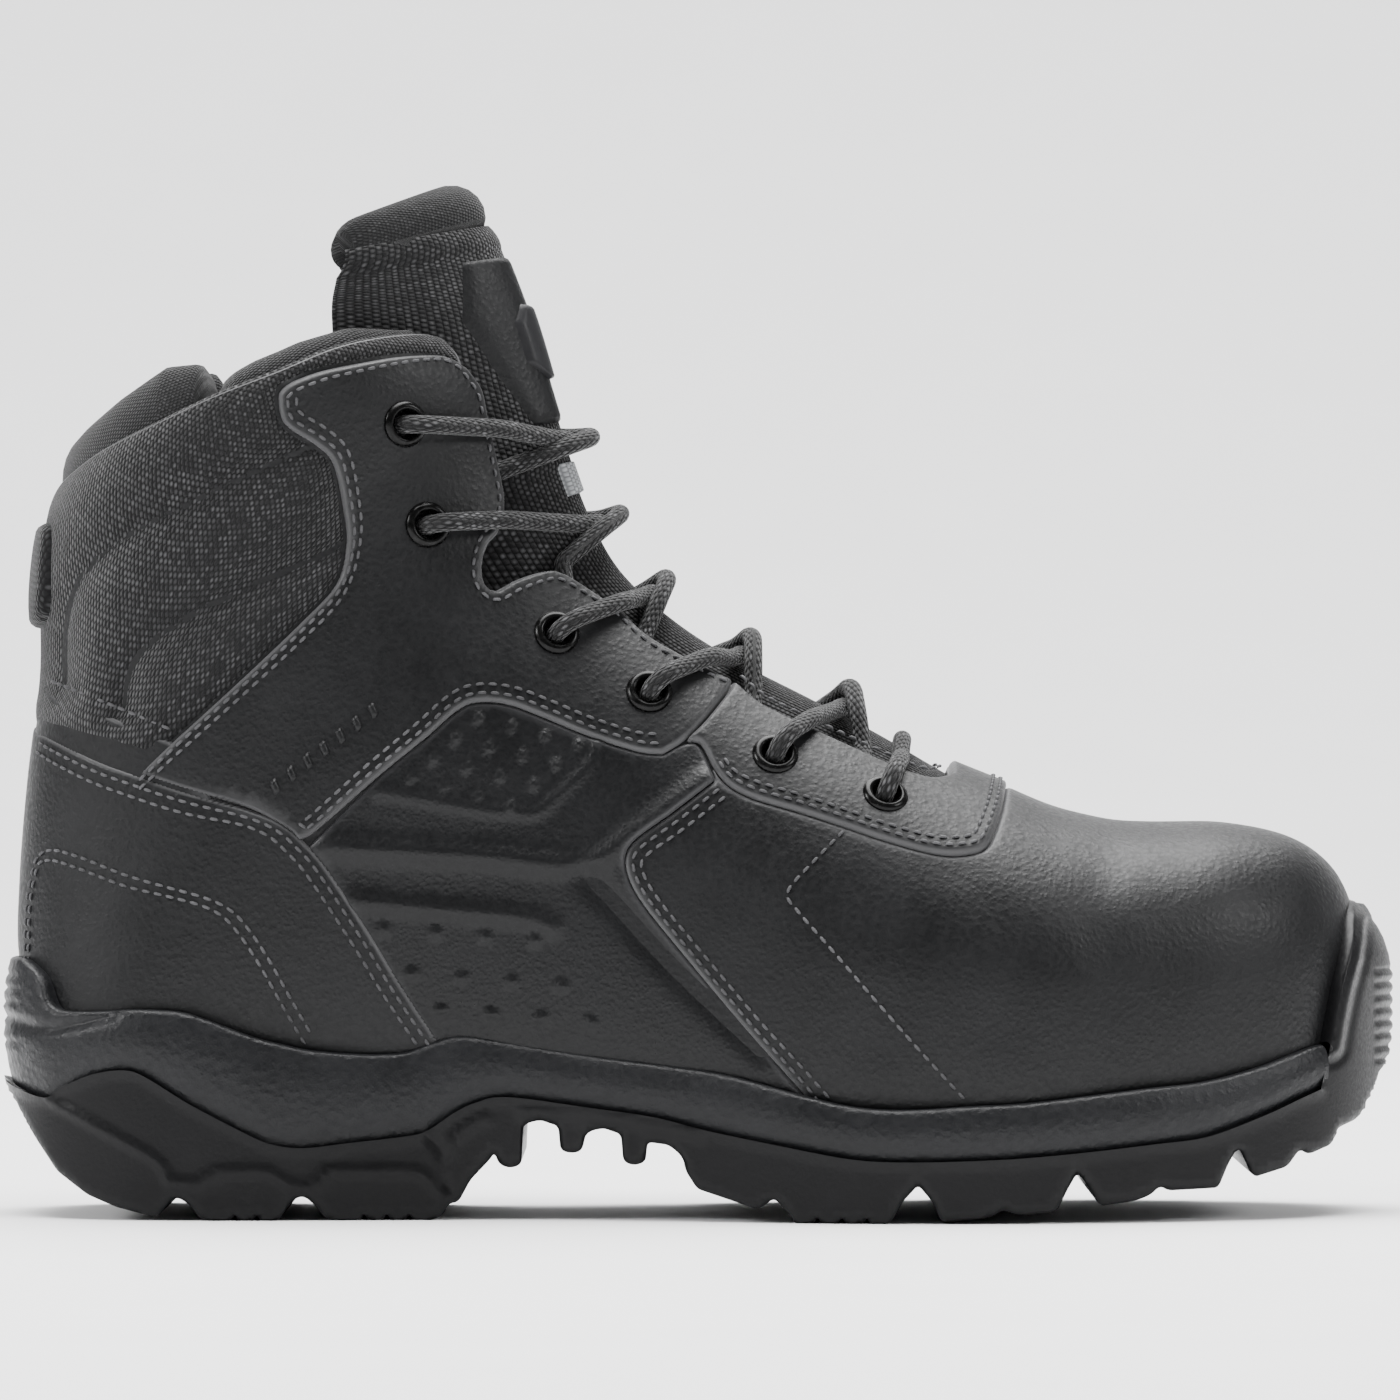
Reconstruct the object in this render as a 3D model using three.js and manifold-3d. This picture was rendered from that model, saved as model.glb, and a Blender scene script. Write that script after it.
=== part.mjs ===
// Right-foot steel toe work boot, six inch shaft, lace-up.
// Millimetres. +X is the toe, +Z is up, -Y is the outer (lateral) side and +Y the inner (medial) side.
// The origin is on the floor, under the middle of the outsole.
//
// The upper is described by sections. Each section is a plane that holds the Y axis and a chord of the side view,
// from the sole or back line to the instep or front line. In the toes the chords are upright, round the ankle they
// fan out, and up the shaft they lie nearly level. A layer of the boot (leather, stiffener, lining) is the space
// between two such bodies at different depths, and its panels are cut out of it along the seams of the side view.
import * as THREE from "three";
import { mergeVertices } from "three/addons/utils/BufferGeometryUtils.js";
import Module from "manifold-3d";

const wasm = await Module();
wasm.setup();

// ---------------------------------------------------------------- driving dimensions
const SEAM_GAP = 0.3; // between neighbouring panels and layers
const LEATHER = 2.2; // thickness of the outer panels
const STIFFENER = 1.8; // toe cap, heel counter and insole board
const LINING = 1.3; // lining with its membrane
const FOOT_LINING_DEPTH = LEATHER + STIFFENER + 2 * SEAM_GAP; // depth of the lining's outer face in the foot
const COLLAR_LINING_DEPTH = 9; // the same in the padded collar
const FOOTBED = 5.5; // thickness of the removable footbed
const SOLE_CLEARANCE = 0.35; // between the upper and the sole that it sits in
const LACE_RADIUS = 2.1;
const LACE_SIDES = 6;
const EYELET = { hole: 3.0, barrel: 3.7, flange: 5.3, rim: 4.7, top: 1.4, seat: 0.45, inner: 2.75, back: 3.2 };
const EYELET_SIDES = 8;
const RING_STEPS = 10; // facets along each half of a section
const SIDES = { lateral: -1, medial: 1 };

// ---------------------------------------------------------------- sections of the upper
// [sole or back point x, z, instep or front point x, z, half width, centre y,
//  width share at the sole, height share of the widest place, roundness of the top]
const SECTIONS = [
  [150.6, 38, 150.6, 58, 9, 9, 0.85, 0.45, 2],
  [148.5, 35, 148.5, 69, 16.5, 8.7, 0.9, 0.42, 2.1],
  [143.5, 33, 143.5, 78.5, 25, 7.6, 0.93, 0.4, 2.2],
  [134, 31, 134, 85, 34.5, 5.8, 0.94, 0.38, 2.3],
  [119, 29, 119, 88.2, 42.5, 4.2, 0.94, 0.36, 2.4],
  [101, 27, 101, 88.6, 48.5, 2.8, 0.94, 0.35, 2.4],
  [83, 25.5, 83, 91.2, 52.3, 1, 0.95, 0.35, 2.3],
  [66, 24.3, 67, 97.5, 53.5, -0.5, 0.95, 0.34, 2.2],
  [47, 23.5, 50, 104.5, 52, -1.7, 0.94, 0.34, 2.15],
  [24, 24.5, 30, 114, 48, -3.5, 0.92, 0.35, 2.1],
  [0, 27.5, 10, 124, 42.5, -4, 0.9, 0.37, 2.1],
  [-26, 31, -8, 136.5, 38, -3.8, 0.86, 0.4, 2.05],
  [-55, 33, -22, 147, 36, -3, 0.84, 0.42, 2],
  [-90, 34, -29.5, 156, 37, -1.8, 0.85, 0.44, 2],
  [-120, 35, -32.8, 165, 37.5, -0.8, 0.84, 0.46, 2],
  [-138, 38, -35, 170, 37.5, -0.3, 0.72, 0.48, 2],
  [-149, 45, -36.3, 174, 37.3, 0, 0.4, 0.5, 2],
  [-153.6, 58, -37.5, 178, 37, 0, 0.1, 0.5, 2],
  [-153.8, 75, -39, 183.5, 36.6, 0, 0, 0.5, 2],
  [-152, 98, -41, 189.5, 36.8, 0, 0, 0.5, 2],
  [-149.4, 120, -43.5, 194, 38, 0, 0, 0.5, 2],
  [-149, 140, -47, 197.5, 39.5, 0, 0, 0.5, 2],
  [-147.2, 158, -51.5, 200, 40.5, 0, 0, 0.5, 2],
  [-145.5, 172, -57, 206, 41.5, 0, 0, 0.5, 2],
];
const ABOVE_TOP = [-144, 200, -66, 228, 41.5, 0, 0, 0.5, 2]; // carries a cutter past the open top
const FIRST_COLLAR_SECTION = 17;
const TOE_LENGTH = 50; // the stretch behind the toe end over which a deeper layer draws back
const BLUNT_WIDTH = 34; // sections narrower than this are the nose of the toe

function sectionAt(row, depth) {
  const [xb, zb, xf, zf, w, y, h0, cm, n] = row;
  const nose = Math.min(1, w / BLUNT_WIDTH);
  const back = depth * THREE.MathUtils.clamp((xb - 150.6 + TOE_LENGTH) / TOE_LENGTH, 0, 1);
  const chord = new THREE.Vector2(xf - xb, zf - zb).normalize().multiplyScalar(depth * nose);
  return {
    b: [xb - back + chord.x, zb + chord.y],
    f: [xf - back - chord.x, zf - chord.y],
    w: w - depth * nose,
    y, h0, cm, n,
  };
}

// Half width of a section at share c of its chord, as a share of its greatest half width.
function widthShare(s, c) {
  if (c < s.cm) return s.h0 + (1 - s.h0) * Math.sqrt(1 - ((s.cm - c) / s.cm) ** 2);
  return Math.max(0, 1 - ((c - s.cm) / (1 - s.cm)) ** s.n) ** (1 / s.n);
}

// How far along a section's chord a point of its ring is, by the turn round the ring from the back of the chord.
const shareAt = (turn) => (1 - Math.cos(turn)) / 2;
const ringShare = (j) => shareAt((Math.PI * j) / RING_STEPS);

// The same along the straight facets between the points of a ring.
function facetShare(s, c) {
  const j = Math.min(RING_STEPS - 1, Math.floor((Math.acos(1 - 2 * c) / Math.PI) * RING_STEPS));
  const [low, high] = [ringShare(j), ringShare(j + 1)];
  const at = (k, share) => (k === 0 || k === RING_STEPS ? 0 : widthShare(s, share));
  return at(j, low) + ((at(j + 1, high) - at(j, low)) * (c - low)) / (high - low);
}

function sectionPoint(s, c, side) {
  const h = side * s.w * widthShare(s, c);
  return [s.b[0] + (s.f[0] - s.b[0]) * c, s.y + h, s.b[1] + (s.f[1] - s.b[1]) * c];
}

function sectionRing(s) {
  const ring = [[s.b[0], s.y, s.b[1]]];
  for (let j = 1; j < RING_STEPS; j++) ring.push(sectionPoint(s, ringShare(j), -1));
  ring.push([s.f[0], s.y, s.f[1]]);
  for (let j = RING_STEPS - 1; j > 0; j--) ring.push(sectionPoint(s, ringShare(j), 1));
  return ring;
}

// ---------------------------------------------------------------- solids
function solid(geometry) {
  const bare = new THREE.BufferGeometry()
    .setAttribute("position", geometry.getAttribute("position"))
    .setIndex(geometry.index);
  const merged = mergeVertices(bare, 1e-4);
  return new wasm.Manifold(
    new wasm.Mesh({
      numProp: 3,
      vertProperties: merged.attributes.position.array,
      triVerts: new Uint32Array(merged.index.array),
    }),
  );
}

function geometryOf(made) {
  const mesh = made.getMesh();
  return new THREE.BufferGeometry()
    .setAttribute("position", new THREE.BufferAttribute(mesh.vertProperties, 3))
    .setIndex(new THREE.BufferAttribute(mesh.triVerts, 1));
}

// A closed solid through a row of rings with the same even number of points. Its ends are closed by strips between
// the first half of the ring and the second, so a ring may be a crescent.
function loft(rings) {
  const count = rings[0].length;
  const points = rings.flat();
  const index = [];
  for (let i = 0; i + 1 < rings.length; i++) {
    for (let j = 0; j < count; j++) {
      const a = i * count + j;
      const b = i * count + ((j + 1) % count);
      const span = (from, to) => Math.hypot(...points[from].map((v, k) => v - points[to][k]));
      if (span(b, a + count) <= span(a, b + count)) index.push(a, b, a + count, b, b + count, a + count);
      else index.push(a, b, b + count, a, b + count, a + count);
    }
  }
  const last = (rings.length - 1) * count;
  for (let j = 0; j + 1 < count / 2; j++) {
    const [near, far] = [count - 1 - j, count - 2 - j];
    index.push(j, far, j + 1, j, near, far);
    index.push(last + j, last + j + 1, last + far, last + j, last + far, last + near);
  }
  const geometry = new THREE.BufferGeometry()
    .setAttribute("position", new THREE.BufferAttribute(new Float32Array(points.flat()), 3))
    .setIndex(index);
  const made = solid(geometry);
  if (made.volume() > 0) return made;
  for (let i = 0; i < index.length; i += 3) [index[i], index[i + 1]] = [index[i + 1], index[i]];
  return solid(geometry.setIndex(index));
}

// The whole shape of the upper at a depth below its outer face. depthOf may be a number or a function of the section.
function body(depthOf, openTop = false) {
  const depth = typeof depthOf === "number" ? () => depthOf : depthOf;
  const rows = openTop ? [...SECTIONS, ABOVE_TOP] : SECTIONS;
  return loft(rows.map((row, i) => sectionRing(sectionAt(row, depth(i)))));
}

const layer = (outer, inner) => body(outer).subtract(body(inner, true));

// A side view outline pushed through the boot from y0 to y1.
function sidePrism(outline, y0 = -80, y1 = 80) {
  const shape = new THREE.Shape(outline.map(([x, z]) => new THREE.Vector2(x, z)));
  const geometry = new THREE.ExtrudeGeometry(shape, { depth: y1 - y0, bevelEnabled: false });
  geometry.rotateX(Math.PI / 2);
  geometry.translate(0, y1, 0);
  return solid(geometry);
}

// A plan outline pushed upwards from z0 to z1.
function planPrism(outline, z0, z1) {
  const shape = new THREE.Shape(outline.map(([x, y]) => new THREE.Vector2(x, y)));
  const geometry = new THREE.ExtrudeGeometry(shape, { depth: z1 - z0, bevelEnabled: false });
  geometry.translate(0, 0, z0);
  return solid(geometry);
}

// A thin wall along a seam of the side view; taking it out of a layer parts two panels.
function seamWall(line, y0 = -80, y1 = 80) {
  const near = [];
  const far = [];
  line.forEach((p, i) => {
    const a = line[Math.max(0, i - 1)];
    const b = line[Math.min(line.length - 1, i + 1)];
    const along = new THREE.Vector2(b[0] - a[0], b[1] - a[1]).normalize().multiplyScalar(SEAM_GAP / 2);
    near.push([p[0] - along.y, p[1] + along.x]);
    far.unshift([p[0] + along.y, p[1] - along.x]);
  });
  return sidePrism([...near, ...far], y0, y1);
}

// The separate body of a cut layer that holds the side view point (x, z) on one side of the boot.
function pieceAt(bodies, x, z, side) {
  const probe = sidePrism([[x - 1, z - 1], [x + 1, z - 1], [x + 1, z + 1], [x - 1, z + 1]],
    side < 0 ? -90 : 0, side < 0 ? 0 : 90);
  return bodies.find((piece) => piece.intersect(probe).volume() > 0.01);
}

// ---------------------------------------------------------------- places on the upper
// The section through a side view point, and how far along its chord the point is.
function sectionThrough(x, z, depth = 0) {
  const off = (s) => (s.f[0] - s.b[0]) * (z - s.b[1]) - (s.f[1] - s.b[1]) * (x - s.b[0]);
  for (let i = 0; i + 1 < SECTIONS.length; i++) {
    const before = off(sectionAt(SECTIONS[i], depth));
    const after = off(sectionAt(SECTIONS[i + 1], depth));
    if (before * after > 0) continue;
    let low = 0;
    let high = 1;
    const mixed = (t) => sectionAt(SECTIONS[i].map((v, k) => v + (SECTIONS[i + 1][k] - v) * t), depth);
    for (let step = 0; step < 30; step++) {
      const middle = (low + high) / 2;
      if (off(mixed(middle)) * before > 0) low = middle;
      else high = middle;
    }
    const s = mixed(low);
    const length2 = (s.f[0] - s.b[0]) ** 2 + (s.f[1] - s.b[1]) ** 2;
    const c = ((x - s.b[0]) * (s.f[0] - s.b[0]) + (z - s.b[1]) * (s.f[1] - s.b[1])) / length2;
    return { s, c: THREE.MathUtils.clamp(c, 0, 1) };
  }
  throw new Error("no section passes through " + x + ", " + z);
}

function onUpper(x, z, side) {
  const { s, c } = sectionThrough(x, z);
  return new THREE.Vector3(x, s.y + side * s.w * facetShare(s, c), z);
}

// Unit vector out of the upper at a side view point.
function outward(x, z, side) {
  const step = 4;
  const dx = onUpper(x + step, z, side).sub(onUpper(x - step, z, side));
  const dz = onUpper(x, z + step, side).sub(onUpper(x, z - step, side));
  const normal = dx.cross(dz).normalize();
  return normal.y * side > 0 ? normal : normal.negate();
}

function smooth(points, count) {
  const curve = new THREE.SplineCurve(points.map(([x, y]) => new THREE.Vector2(x, y)));
  return curve.getPoints(count).map((p) => [p.x, p.y]);
}

const group = new THREE.Group();
const tongueGroup = new THREE.Group();
group.add(tongueGroup);

function addPiece(name, shape, material, parent = group) {
  const mesh = new THREE.Mesh(geometryOf(shape), material);
  mesh.name = name;
  parent.add(mesh);
}

const finish = (color, roughness, metalness = 0) =>
  new THREE.MeshStandardMaterial({ color, roughness, metalness });
const MATERIALS = {
  leather: finish(0x26272a, 0.45),
  fabric: finish(0x1d1e20, 0.85),
  lining: finish(0x202124, 0.9),
  foam: finish(0x3a3b3e, 0.95),
  rubber: finish(0x242528, 0.55),
  midsole: finish(0x303235, 0.6),
  board: finish(0x8a7f6c, 0.9),
  steel: finish(0x9a9da1, 0.35, 1),
  paintedMetal: finish(0x141414, 0.3, 1),
  lace: finish(0x18191b, 0.8),
  plastic: finish(0x202020, 0.4),
  webbing: finish(0x9a9c9e, 0.8),
};

// ---------------------------------------------------------------- seams and edges in the side view
const HEEL_OVERLAY_TOP = [[-165, 110.5], [-148, 108.6], [-135, 102.8], [-116, 96.3], [-100.6, 91.8], [-93, 88.5],
  [-88.4, 84.6], [-83.3, 78.8], [-73.6, 64], [-67, 53], [-59, 40.7], [-48, 22]];
const BACK_STAY_TOP = [[-165, 136], [-147, 136], [-146.3, 118.5], [-132.3, 112.7], [-119.5, 107.4], [-116.6, 105.2]];
const QUARTER_REAR = [[-128, 98.2], [-118.4, 106.7], [-100, 123.5], [-89.3, 133.7], [-81.5, 142.2], [-79.2, 150.8],
  [-79.7, 158], [-82, 168.8], [-85.7, 173], [-93, 178], [-94.3, 184.5], [-92, 187], [-85.5, 189.7], [-78, 191.5],
  [-67.5, 193.5], [-58, 193.8], [-53, 191.3], [-42, 186]];
const QUARTER_LOWER = [[-95, 87.5], [-88, 85.3], [-72, 99], [-61, 108], [-54.5, 113.7], [-50, 115.7], [-43, 115.2],
  [-35, 112.3], [-24.5, 108], [-13.5, 104.6], [-8.3, 104.2], [-3.8, 107], [1, 111.6], [7, 119.5], [12, 126]];
const THROAT_LOWER = [[-5.5, 106.2], [0, 106.2], [2.7, 101.5], [5.9, 97.5], [11.7, 94.3], [22.7, 91], [32.4, 87.8],
  [42, 84.6], [51.8, 82], [58.3, 81.7], [64, 83.3], [67.3, 89.8], [69.5, 96.5], [74, 112]];
const VAMP_REAR = [[5.5, 99.6], [-6.3, 91], [-14.2, 85.3], [-16.7, 81.5], [-16, 76.3], [-12.2, 69.8], [9.8, 43.2],
  [22.7, 28.6], [34, 14]];
const FACING_EDGE = [[-53, 192.5], [-49.5, 186.5], [-46, 171], [-44, 161], [-45, 154.6], [-48, 151], [-49, 145.6],
  [-48, 142], [-45.7, 141], [-35.3, 145.4], [-31.5, 145], [-25, 141], [-11, 130], [7.2, 120.8], [13.7, 115],
  [22.7, 110.5], [32.4, 106], [40.7, 102.2], [47.3, 99.5], [52.5, 98.3], [56.5, 99]];
const BEYOND_FACING = [[60, 112], [20, 150], [0, 250], [-53, 250]];
const COLLAR_EDGE = [[-165, 158], [-147, 165], [-136, 172.4], [-122, 178.8], [-108, 185], [-95, 190], [-78.5, 196.7],
  [-61, 199.6], [-55, 196], [-53, 191.7], [-45, 185]];
const ABOVE_COLLAR = [[-30, 260], [-165, 260]];
const EYELETS = [[-66.5, 178.2], [-61.4, 155.5], [-32.4, 131], [-11.5, 117.7], [16.7, 103.5], [41.2, 94.5]];

const MIDSOLE_TOP = [[-158, 62], [-154.6, 58], [-149.6, 54], [-146, 47.5], [-138, 46.4], [-127, 47], [-117, 46.6],
  [-111, 45], [-93, 39.2], [-86, 37.8], [-75, 37], [-66, 37.4], [-60.7, 39.2], [-53, 41], [-38.8, 38.9], [-10, 34.9],
  [4.3, 32.9], [18.7, 29.3], [33, 26], [45, 25.2], [74, 26.8], [100, 29.7], [126, 34], [138, 38], [141.6, 38.7]];
const PARTING = [[-158, 30.5], [-146.7, 27], [-136, 32.4], [-128.7, 33.5], [-123.8, 32], [-114.5, 26.3],
  [-103.7, 20.6], [-96.5, 17.3], [-89, 16.2], [-67.7, 18.5], [-61.4, 19.8], [-50, 26.3], [-43, 27.5], [-24.5, 25.2],
  [2, 20.3], [18.7, 17], [33, 14.4], [45, 13.7], [65.5, 14.2], [100, 17.3], [113, 18.9], [126, 23.4], [138.5, 28.8]];
const BUMPER = [[141.8, 38.7], [144.7, 52.7], [147.4, 60.3], [150.8, 67], [152, 69.8], [154.5, 65.5], [156.8, 60],
  [157.5, 54], [157.5, 40], [156.6, 35], [154, 30.8], [152.3, 27], [150.5, 23.5], [147, 20.5]];
// Bottom of the tread from the toe back to the heel: lugs, with the grooves between them.
const TREAD = [[143, 16.4], [137, 13.6], [132, 11.3], [124, 9.2], [120.6, 14], [116, 7.4], [103.5, 5.6], [96.5, 4.3],
  [89, 3.4], [84.2, 10], [79.4, 2.4], [70.7, 1.4], [62, 0.6], [53.6, 0], [48.4, 8], [42.3, 0], [20.7, 0], [16.4, 5.5],
  [12.8, 2], [1, 6.5], [-3.4, 11.3], [-4, 15.5], [-10, 17.8], [-12.3, 13], [-17.3, 13], [-19, 20.6], [-25, 21.5],
  [-26.3, 15.4], [-31.3, 15.4], [-33, 22.4], [-38.5, 22.9], [-40, 12.3], [-45.5, 12.3], [-50.5, 9], [-54.5, 3.4],
  [-58, 0], [-83, 0], [-87, 6.5], [-91, 6.5], [-95, 0], [-112, 0], [-117.3, 5.5], [-121.5, 0.6], [-131, 2.9],
  [-137.5, 5.5], [-144.7, 10.6], [-150, 17.8], [-154, 24.5]];

// Plan of the sole, [x, y], round the outer side from the heel to the toe and back along the inner side.
const SOLE_PLAN = [[-157.5, 0], [-155, -16], [-146, -29.5], [-131, -38], [-115, -41.3], [-95, -41.5], [-70, -39],
  [-40, -38.5], [-10, -44], [20, -52.5], [45, -56.5], [70, -55.9], [95, -51], [115, -43.5], [131, -34.5], [143, -23],
  [152, -8], [157.5, 9], [154.5, 23], [146, 35.5], [131, 45.8], [115, 51.8], [95, 55.6], [70, 56.6], [45, 53.2],
  [20, 45], [-10, 36], [-40, 31], [-70, 33.5], [-95, 38.3], [-115, 40.8], [-131, 38], [-146, 29.5], [-155, 16],
  [-157.5, 0]];

// ---------------------------------------------------------------- sole
const upperSpace = body(-SOLE_CLEARANCE);
const solePlan = smooth(SOLE_PLAN, 84);
solePlan.pop();
const soleBlock = planPrism(solePlan, -1, 75);

// The line of the upper's underside, moved by dz.
const undersideLine = (dz) => SECTIONS.slice(1, 17).map(([x, z]) => [x, z + dz]);
const shift = (line, dz) => line.map(([x, z]) => [x, z + dz]);

const SHANK = { from: -112, to: 18, halfWidth: 9, thickness: 1.4, pocket: 0.3 };
function shankSolid(grow) {
  const inside = ([x]) => x > SHANK.from - 20 && x < SHANK.to + 20;
  const top = undersideLine(-SOLE_CLEARANCE - SEAM_GAP + grow).filter(inside);
  const bottom = undersideLine(-SOLE_CLEARANCE - SEAM_GAP - SHANK.thickness - grow).filter(inside).reverse();
  const [from, to, half] = [SHANK.from - grow, SHANK.to + grow, SHANK.halfWidth + grow];
  const ends = sidePrism([[from, 0], [to, 0], [to, 60], [from, 60]], -half, half);
  return sidePrism([...top, ...bottom]).intersect(ends);
}

const midsoleOutline = [...MIDSOLE_TOP, ...shift(PARTING, SEAM_GAP / 2).reverse()];
const midsole = soleBlock.intersect(sidePrism(midsoleOutline)).subtract(upperSpace)
  .subtract(shankSolid(SHANK.pocket));
const outsoleOutline = [...shift(PARTING, -SEAM_GAP / 2), [138.8, 28.6], [141.9, 38.5], ...BUMPER.slice(1), ...TREAD];
const GROOVE_HALF = 3; // the groove that parts the outer lugs from the inner ones
const grooves = [
  planPrism(smooth([[6, -9], [40, -2], [75, -6], [112, 3], [112, 3 + 2 * GROOVE_HALF], [75, -6 + 2 * GROOVE_HALF],
    [40, -2 + 2 * GROOVE_HALF], [6, -9 + 2 * GROOVE_HALF]], 28), -1, 9),
  planPrism([[-140, -GROOVE_HALF], [-64, -GROOVE_HALF], [-64, GROOVE_HALF], [-140, GROOVE_HALF]], -1, 8),
];
let outsole = soleBlock.intersect(sidePrism(outsoleOutline)).subtract(upperSpace);
for (const groove of grooves) outsole = outsole.subtract(groove);

addPiece("outsole", outsole, MATERIALS.rubber);
addPiece("midsole", midsole, MATERIALS.midsole);
addPiece("shank", shankSolid(0), MATERIALS.steel);

// ---------------------------------------------------------------- outer panels
// The panels stop short of the middle underneath, where the insole board closes the boot.
const LASTING_MARGIN = 15;
const SOLE_HALF_LENGTH = 157.5;
const TYPICAL_HALF_WIDTH = 45;
const lastingOpening = planPrism(
  solePlan.filter((p, i) => i % 2 === 0).map(([x, y]) =>
    [x * (1 - LASTING_MARGIN / SOLE_HALF_LENGTH), y * (1 - LASTING_MARGIN / TYPICAL_HALF_WIDTH)]),
  10, 60);
const undersideSlab = sidePrism([...undersideLine(-6), ...undersideLine(LEATHER + 1.2).reverse()]);

const eyeletPlaces = [];
for (const [side, sign] of Object.entries(SIDES)) {
  EYELETS.forEach(([x, z], i) => {
    const normal = outward(x, z, sign);
    eyeletPlaces.push({
      name: "eyelet_" + side + "_" + (i + 1),
      at: onUpper(x, z, sign),
      turn: new THREE.Quaternion().setFromUnitVectors(new THREE.Vector3(0, 1, 0), normal),
      normal,
    });
  });
}

// The hole for an eyelet's barrel.
function eyeletHole(place) {
  const radius = EYELET.barrel + 0.6;
  const geometry = new THREE.CylinderGeometry(radius, radius, 12, EYELET_SIDES);
  geometry.applyQuaternion(place.turn);
  geometry.translate(...place.at);
  return solid(geometry);
}

const throatOpening = sidePrism([...FACING_EDGE, ...BEYOND_FACING]);
const aboveCollar = sidePrism([...COLLAR_EDGE, ...ABOVE_COLLAR]);

let skin = layer(0, LEATHER);
for (const cutter of [
  throatOpening, aboveCollar, lastingOpening.intersect(undersideSlab),
  seamWall(HEEL_OVERLAY_TOP), seamWall(BACK_STAY_TOP), seamWall(QUARTER_REAR), seamWall(QUARTER_LOWER),
  seamWall(THROAT_LOWER), seamWall(VAMP_REAR), ...eyeletPlaces.map(eyeletHole),
]) skin = skin.subtract(cutter);
// The two collar panels meet in a seam down the middle of the back.
skin = skin.subtract(planPrism([[-160, -SEAM_GAP / 2], [-140, -SEAM_GAP / 2], [-140, SEAM_GAP / 2],
  [-160, SEAM_GAP / 2]], 136.05, 200));
const panels = skin.decompose();

const PANELS = [
  ["vamp", 90, 60, -1, MATERIALS.leather],
  ["throat_overlay", 30, 96, -1, MATERIALS.leather],
  ["heel_overlay", -110, 70, -1, MATERIALS.leather],
  ["back_stay", -135, 107, -1, MATERIALS.leather],
];
for (const [side, sign] of Object.entries(SIDES)) {
  PANELS.push(["side_panel_" + side, -45, 70, sign, MATERIALS.leather]);
  PANELS.push(["quarter_" + side, -60, 130, sign, MATERIALS.leather]);
  PANELS.push(["collar_panel_" + side, -115, 145, sign, MATERIALS.fabric]);
}
for (const [name, x, z, sign, material] of PANELS) addPiece(name, pieceAt(panels, x, z, sign), material);

// ---------------------------------------------------------------- inside the upper
const liningDepth = (i) =>
  FOOT_LINING_DEPTH +
  (COLLAR_LINING_DEPTH - FOOT_LINING_DEPTH) *
    THREE.MathUtils.clamp((i - FIRST_COLLAR_SECTION) / (SECTIONS.length - 1 - FIRST_COLLAR_SECTION), 0, 1);
const deeper = (extra) => (i) => liningDepth(Math.min(i, SECTIONS.length - 1)) + extra;
const stiffenerDepth = LEATHER + SEAM_GAP;
const stiffeners = layer(stiffenerDepth, stiffenerDepth + STIFFENER);

// A band that follows the underside of the upper between two heights above it.
const undersideBand = (low, high) => sidePrism([...undersideLine(low), ...undersideLine(high).reverse()]);

const boardBand = undersideBand(-2, stiffenerDepth + STIFFENER);
const FLANGE_BOTTOM = stiffenerDepth + STIFFENER + SEAM_GAP;
const aboveBoard = sidePrism([...undersideLine(FLANGE_BOTTOM), [-160, 60], [-160, 200], [152, 200]]);
const CAP_REAR = [[97, 10], [93, 45], [91.5, 62], [93, 78], [99, 100]];
const GASKET_WIDTH = 7;
const capZone = sidePrism([...CAP_REAR, [170, 100], [170, 10]]);
const gasketZone = sidePrism([
  ...CAP_REAR.map(([x, z]) => [x - SEAM_GAP, z]), ...CAP_REAR.map(([x, z]) => [x - GASKET_WIDTH, z]).reverse()]);
const counterZone = sidePrism([[-170, 20], [-62, 20], [-78, 52], [-98, 74], [-120, 84], [-140, 90], [-170, 92]]);
addPiece("insole_board", stiffeners.intersect(boardBand), MATERIALS.board);
addPiece("steel_toe_cap", stiffeners.intersect(capZone).intersect(aboveBoard), MATERIALS.steel);
addPiece("toe_cap_gasket", stiffeners.intersect(gasketZone).intersect(aboveBoard), MATERIALS.foam);
addPiece("heel_counter", stiffeners.intersect(counterZone).intersect(aboveBoard), MATERIALS.board);

// The lining and the collar padding stop behind the eyelets, and under the roll on the collar's edge.
const ROLL_DEPTH = 15;
const FACING_BACK = [[-76, 215], [-76, 172], [-71, 150], [-42, 122], [-20, 107], [10, 92], [38, 82], [58, 80],
  [74, 84], [79, 100], [84, 130]];
const facingZone = sidePrism([...FACING_BACK, [0, 250], [-76, 250]]);
const rollZone = sidePrism([...shift(COLLAR_EDGE, -ROLL_DEPTH), ...ABOVE_COLLAR]);
const paddingZone = sidePrism([[-170, 96], [-140, 97], [-110, 90], [-80, 96], [-80, 230], [-170, 230]]);
const middleSlit = planPrism([[-160, -SEAM_GAP / 2], [-60, -SEAM_GAP / 2], [-60, SEAM_GAP / 2],
  [-160, SEAM_GAP / 2]], 60, 230);
const padding = body(stiffenerDepth).subtract(body(deeper(-SEAM_GAP), true)).intersect(paddingZone);
const paddings = padding.subtract(rollZone).subtract(middleSlit).decompose();

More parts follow.
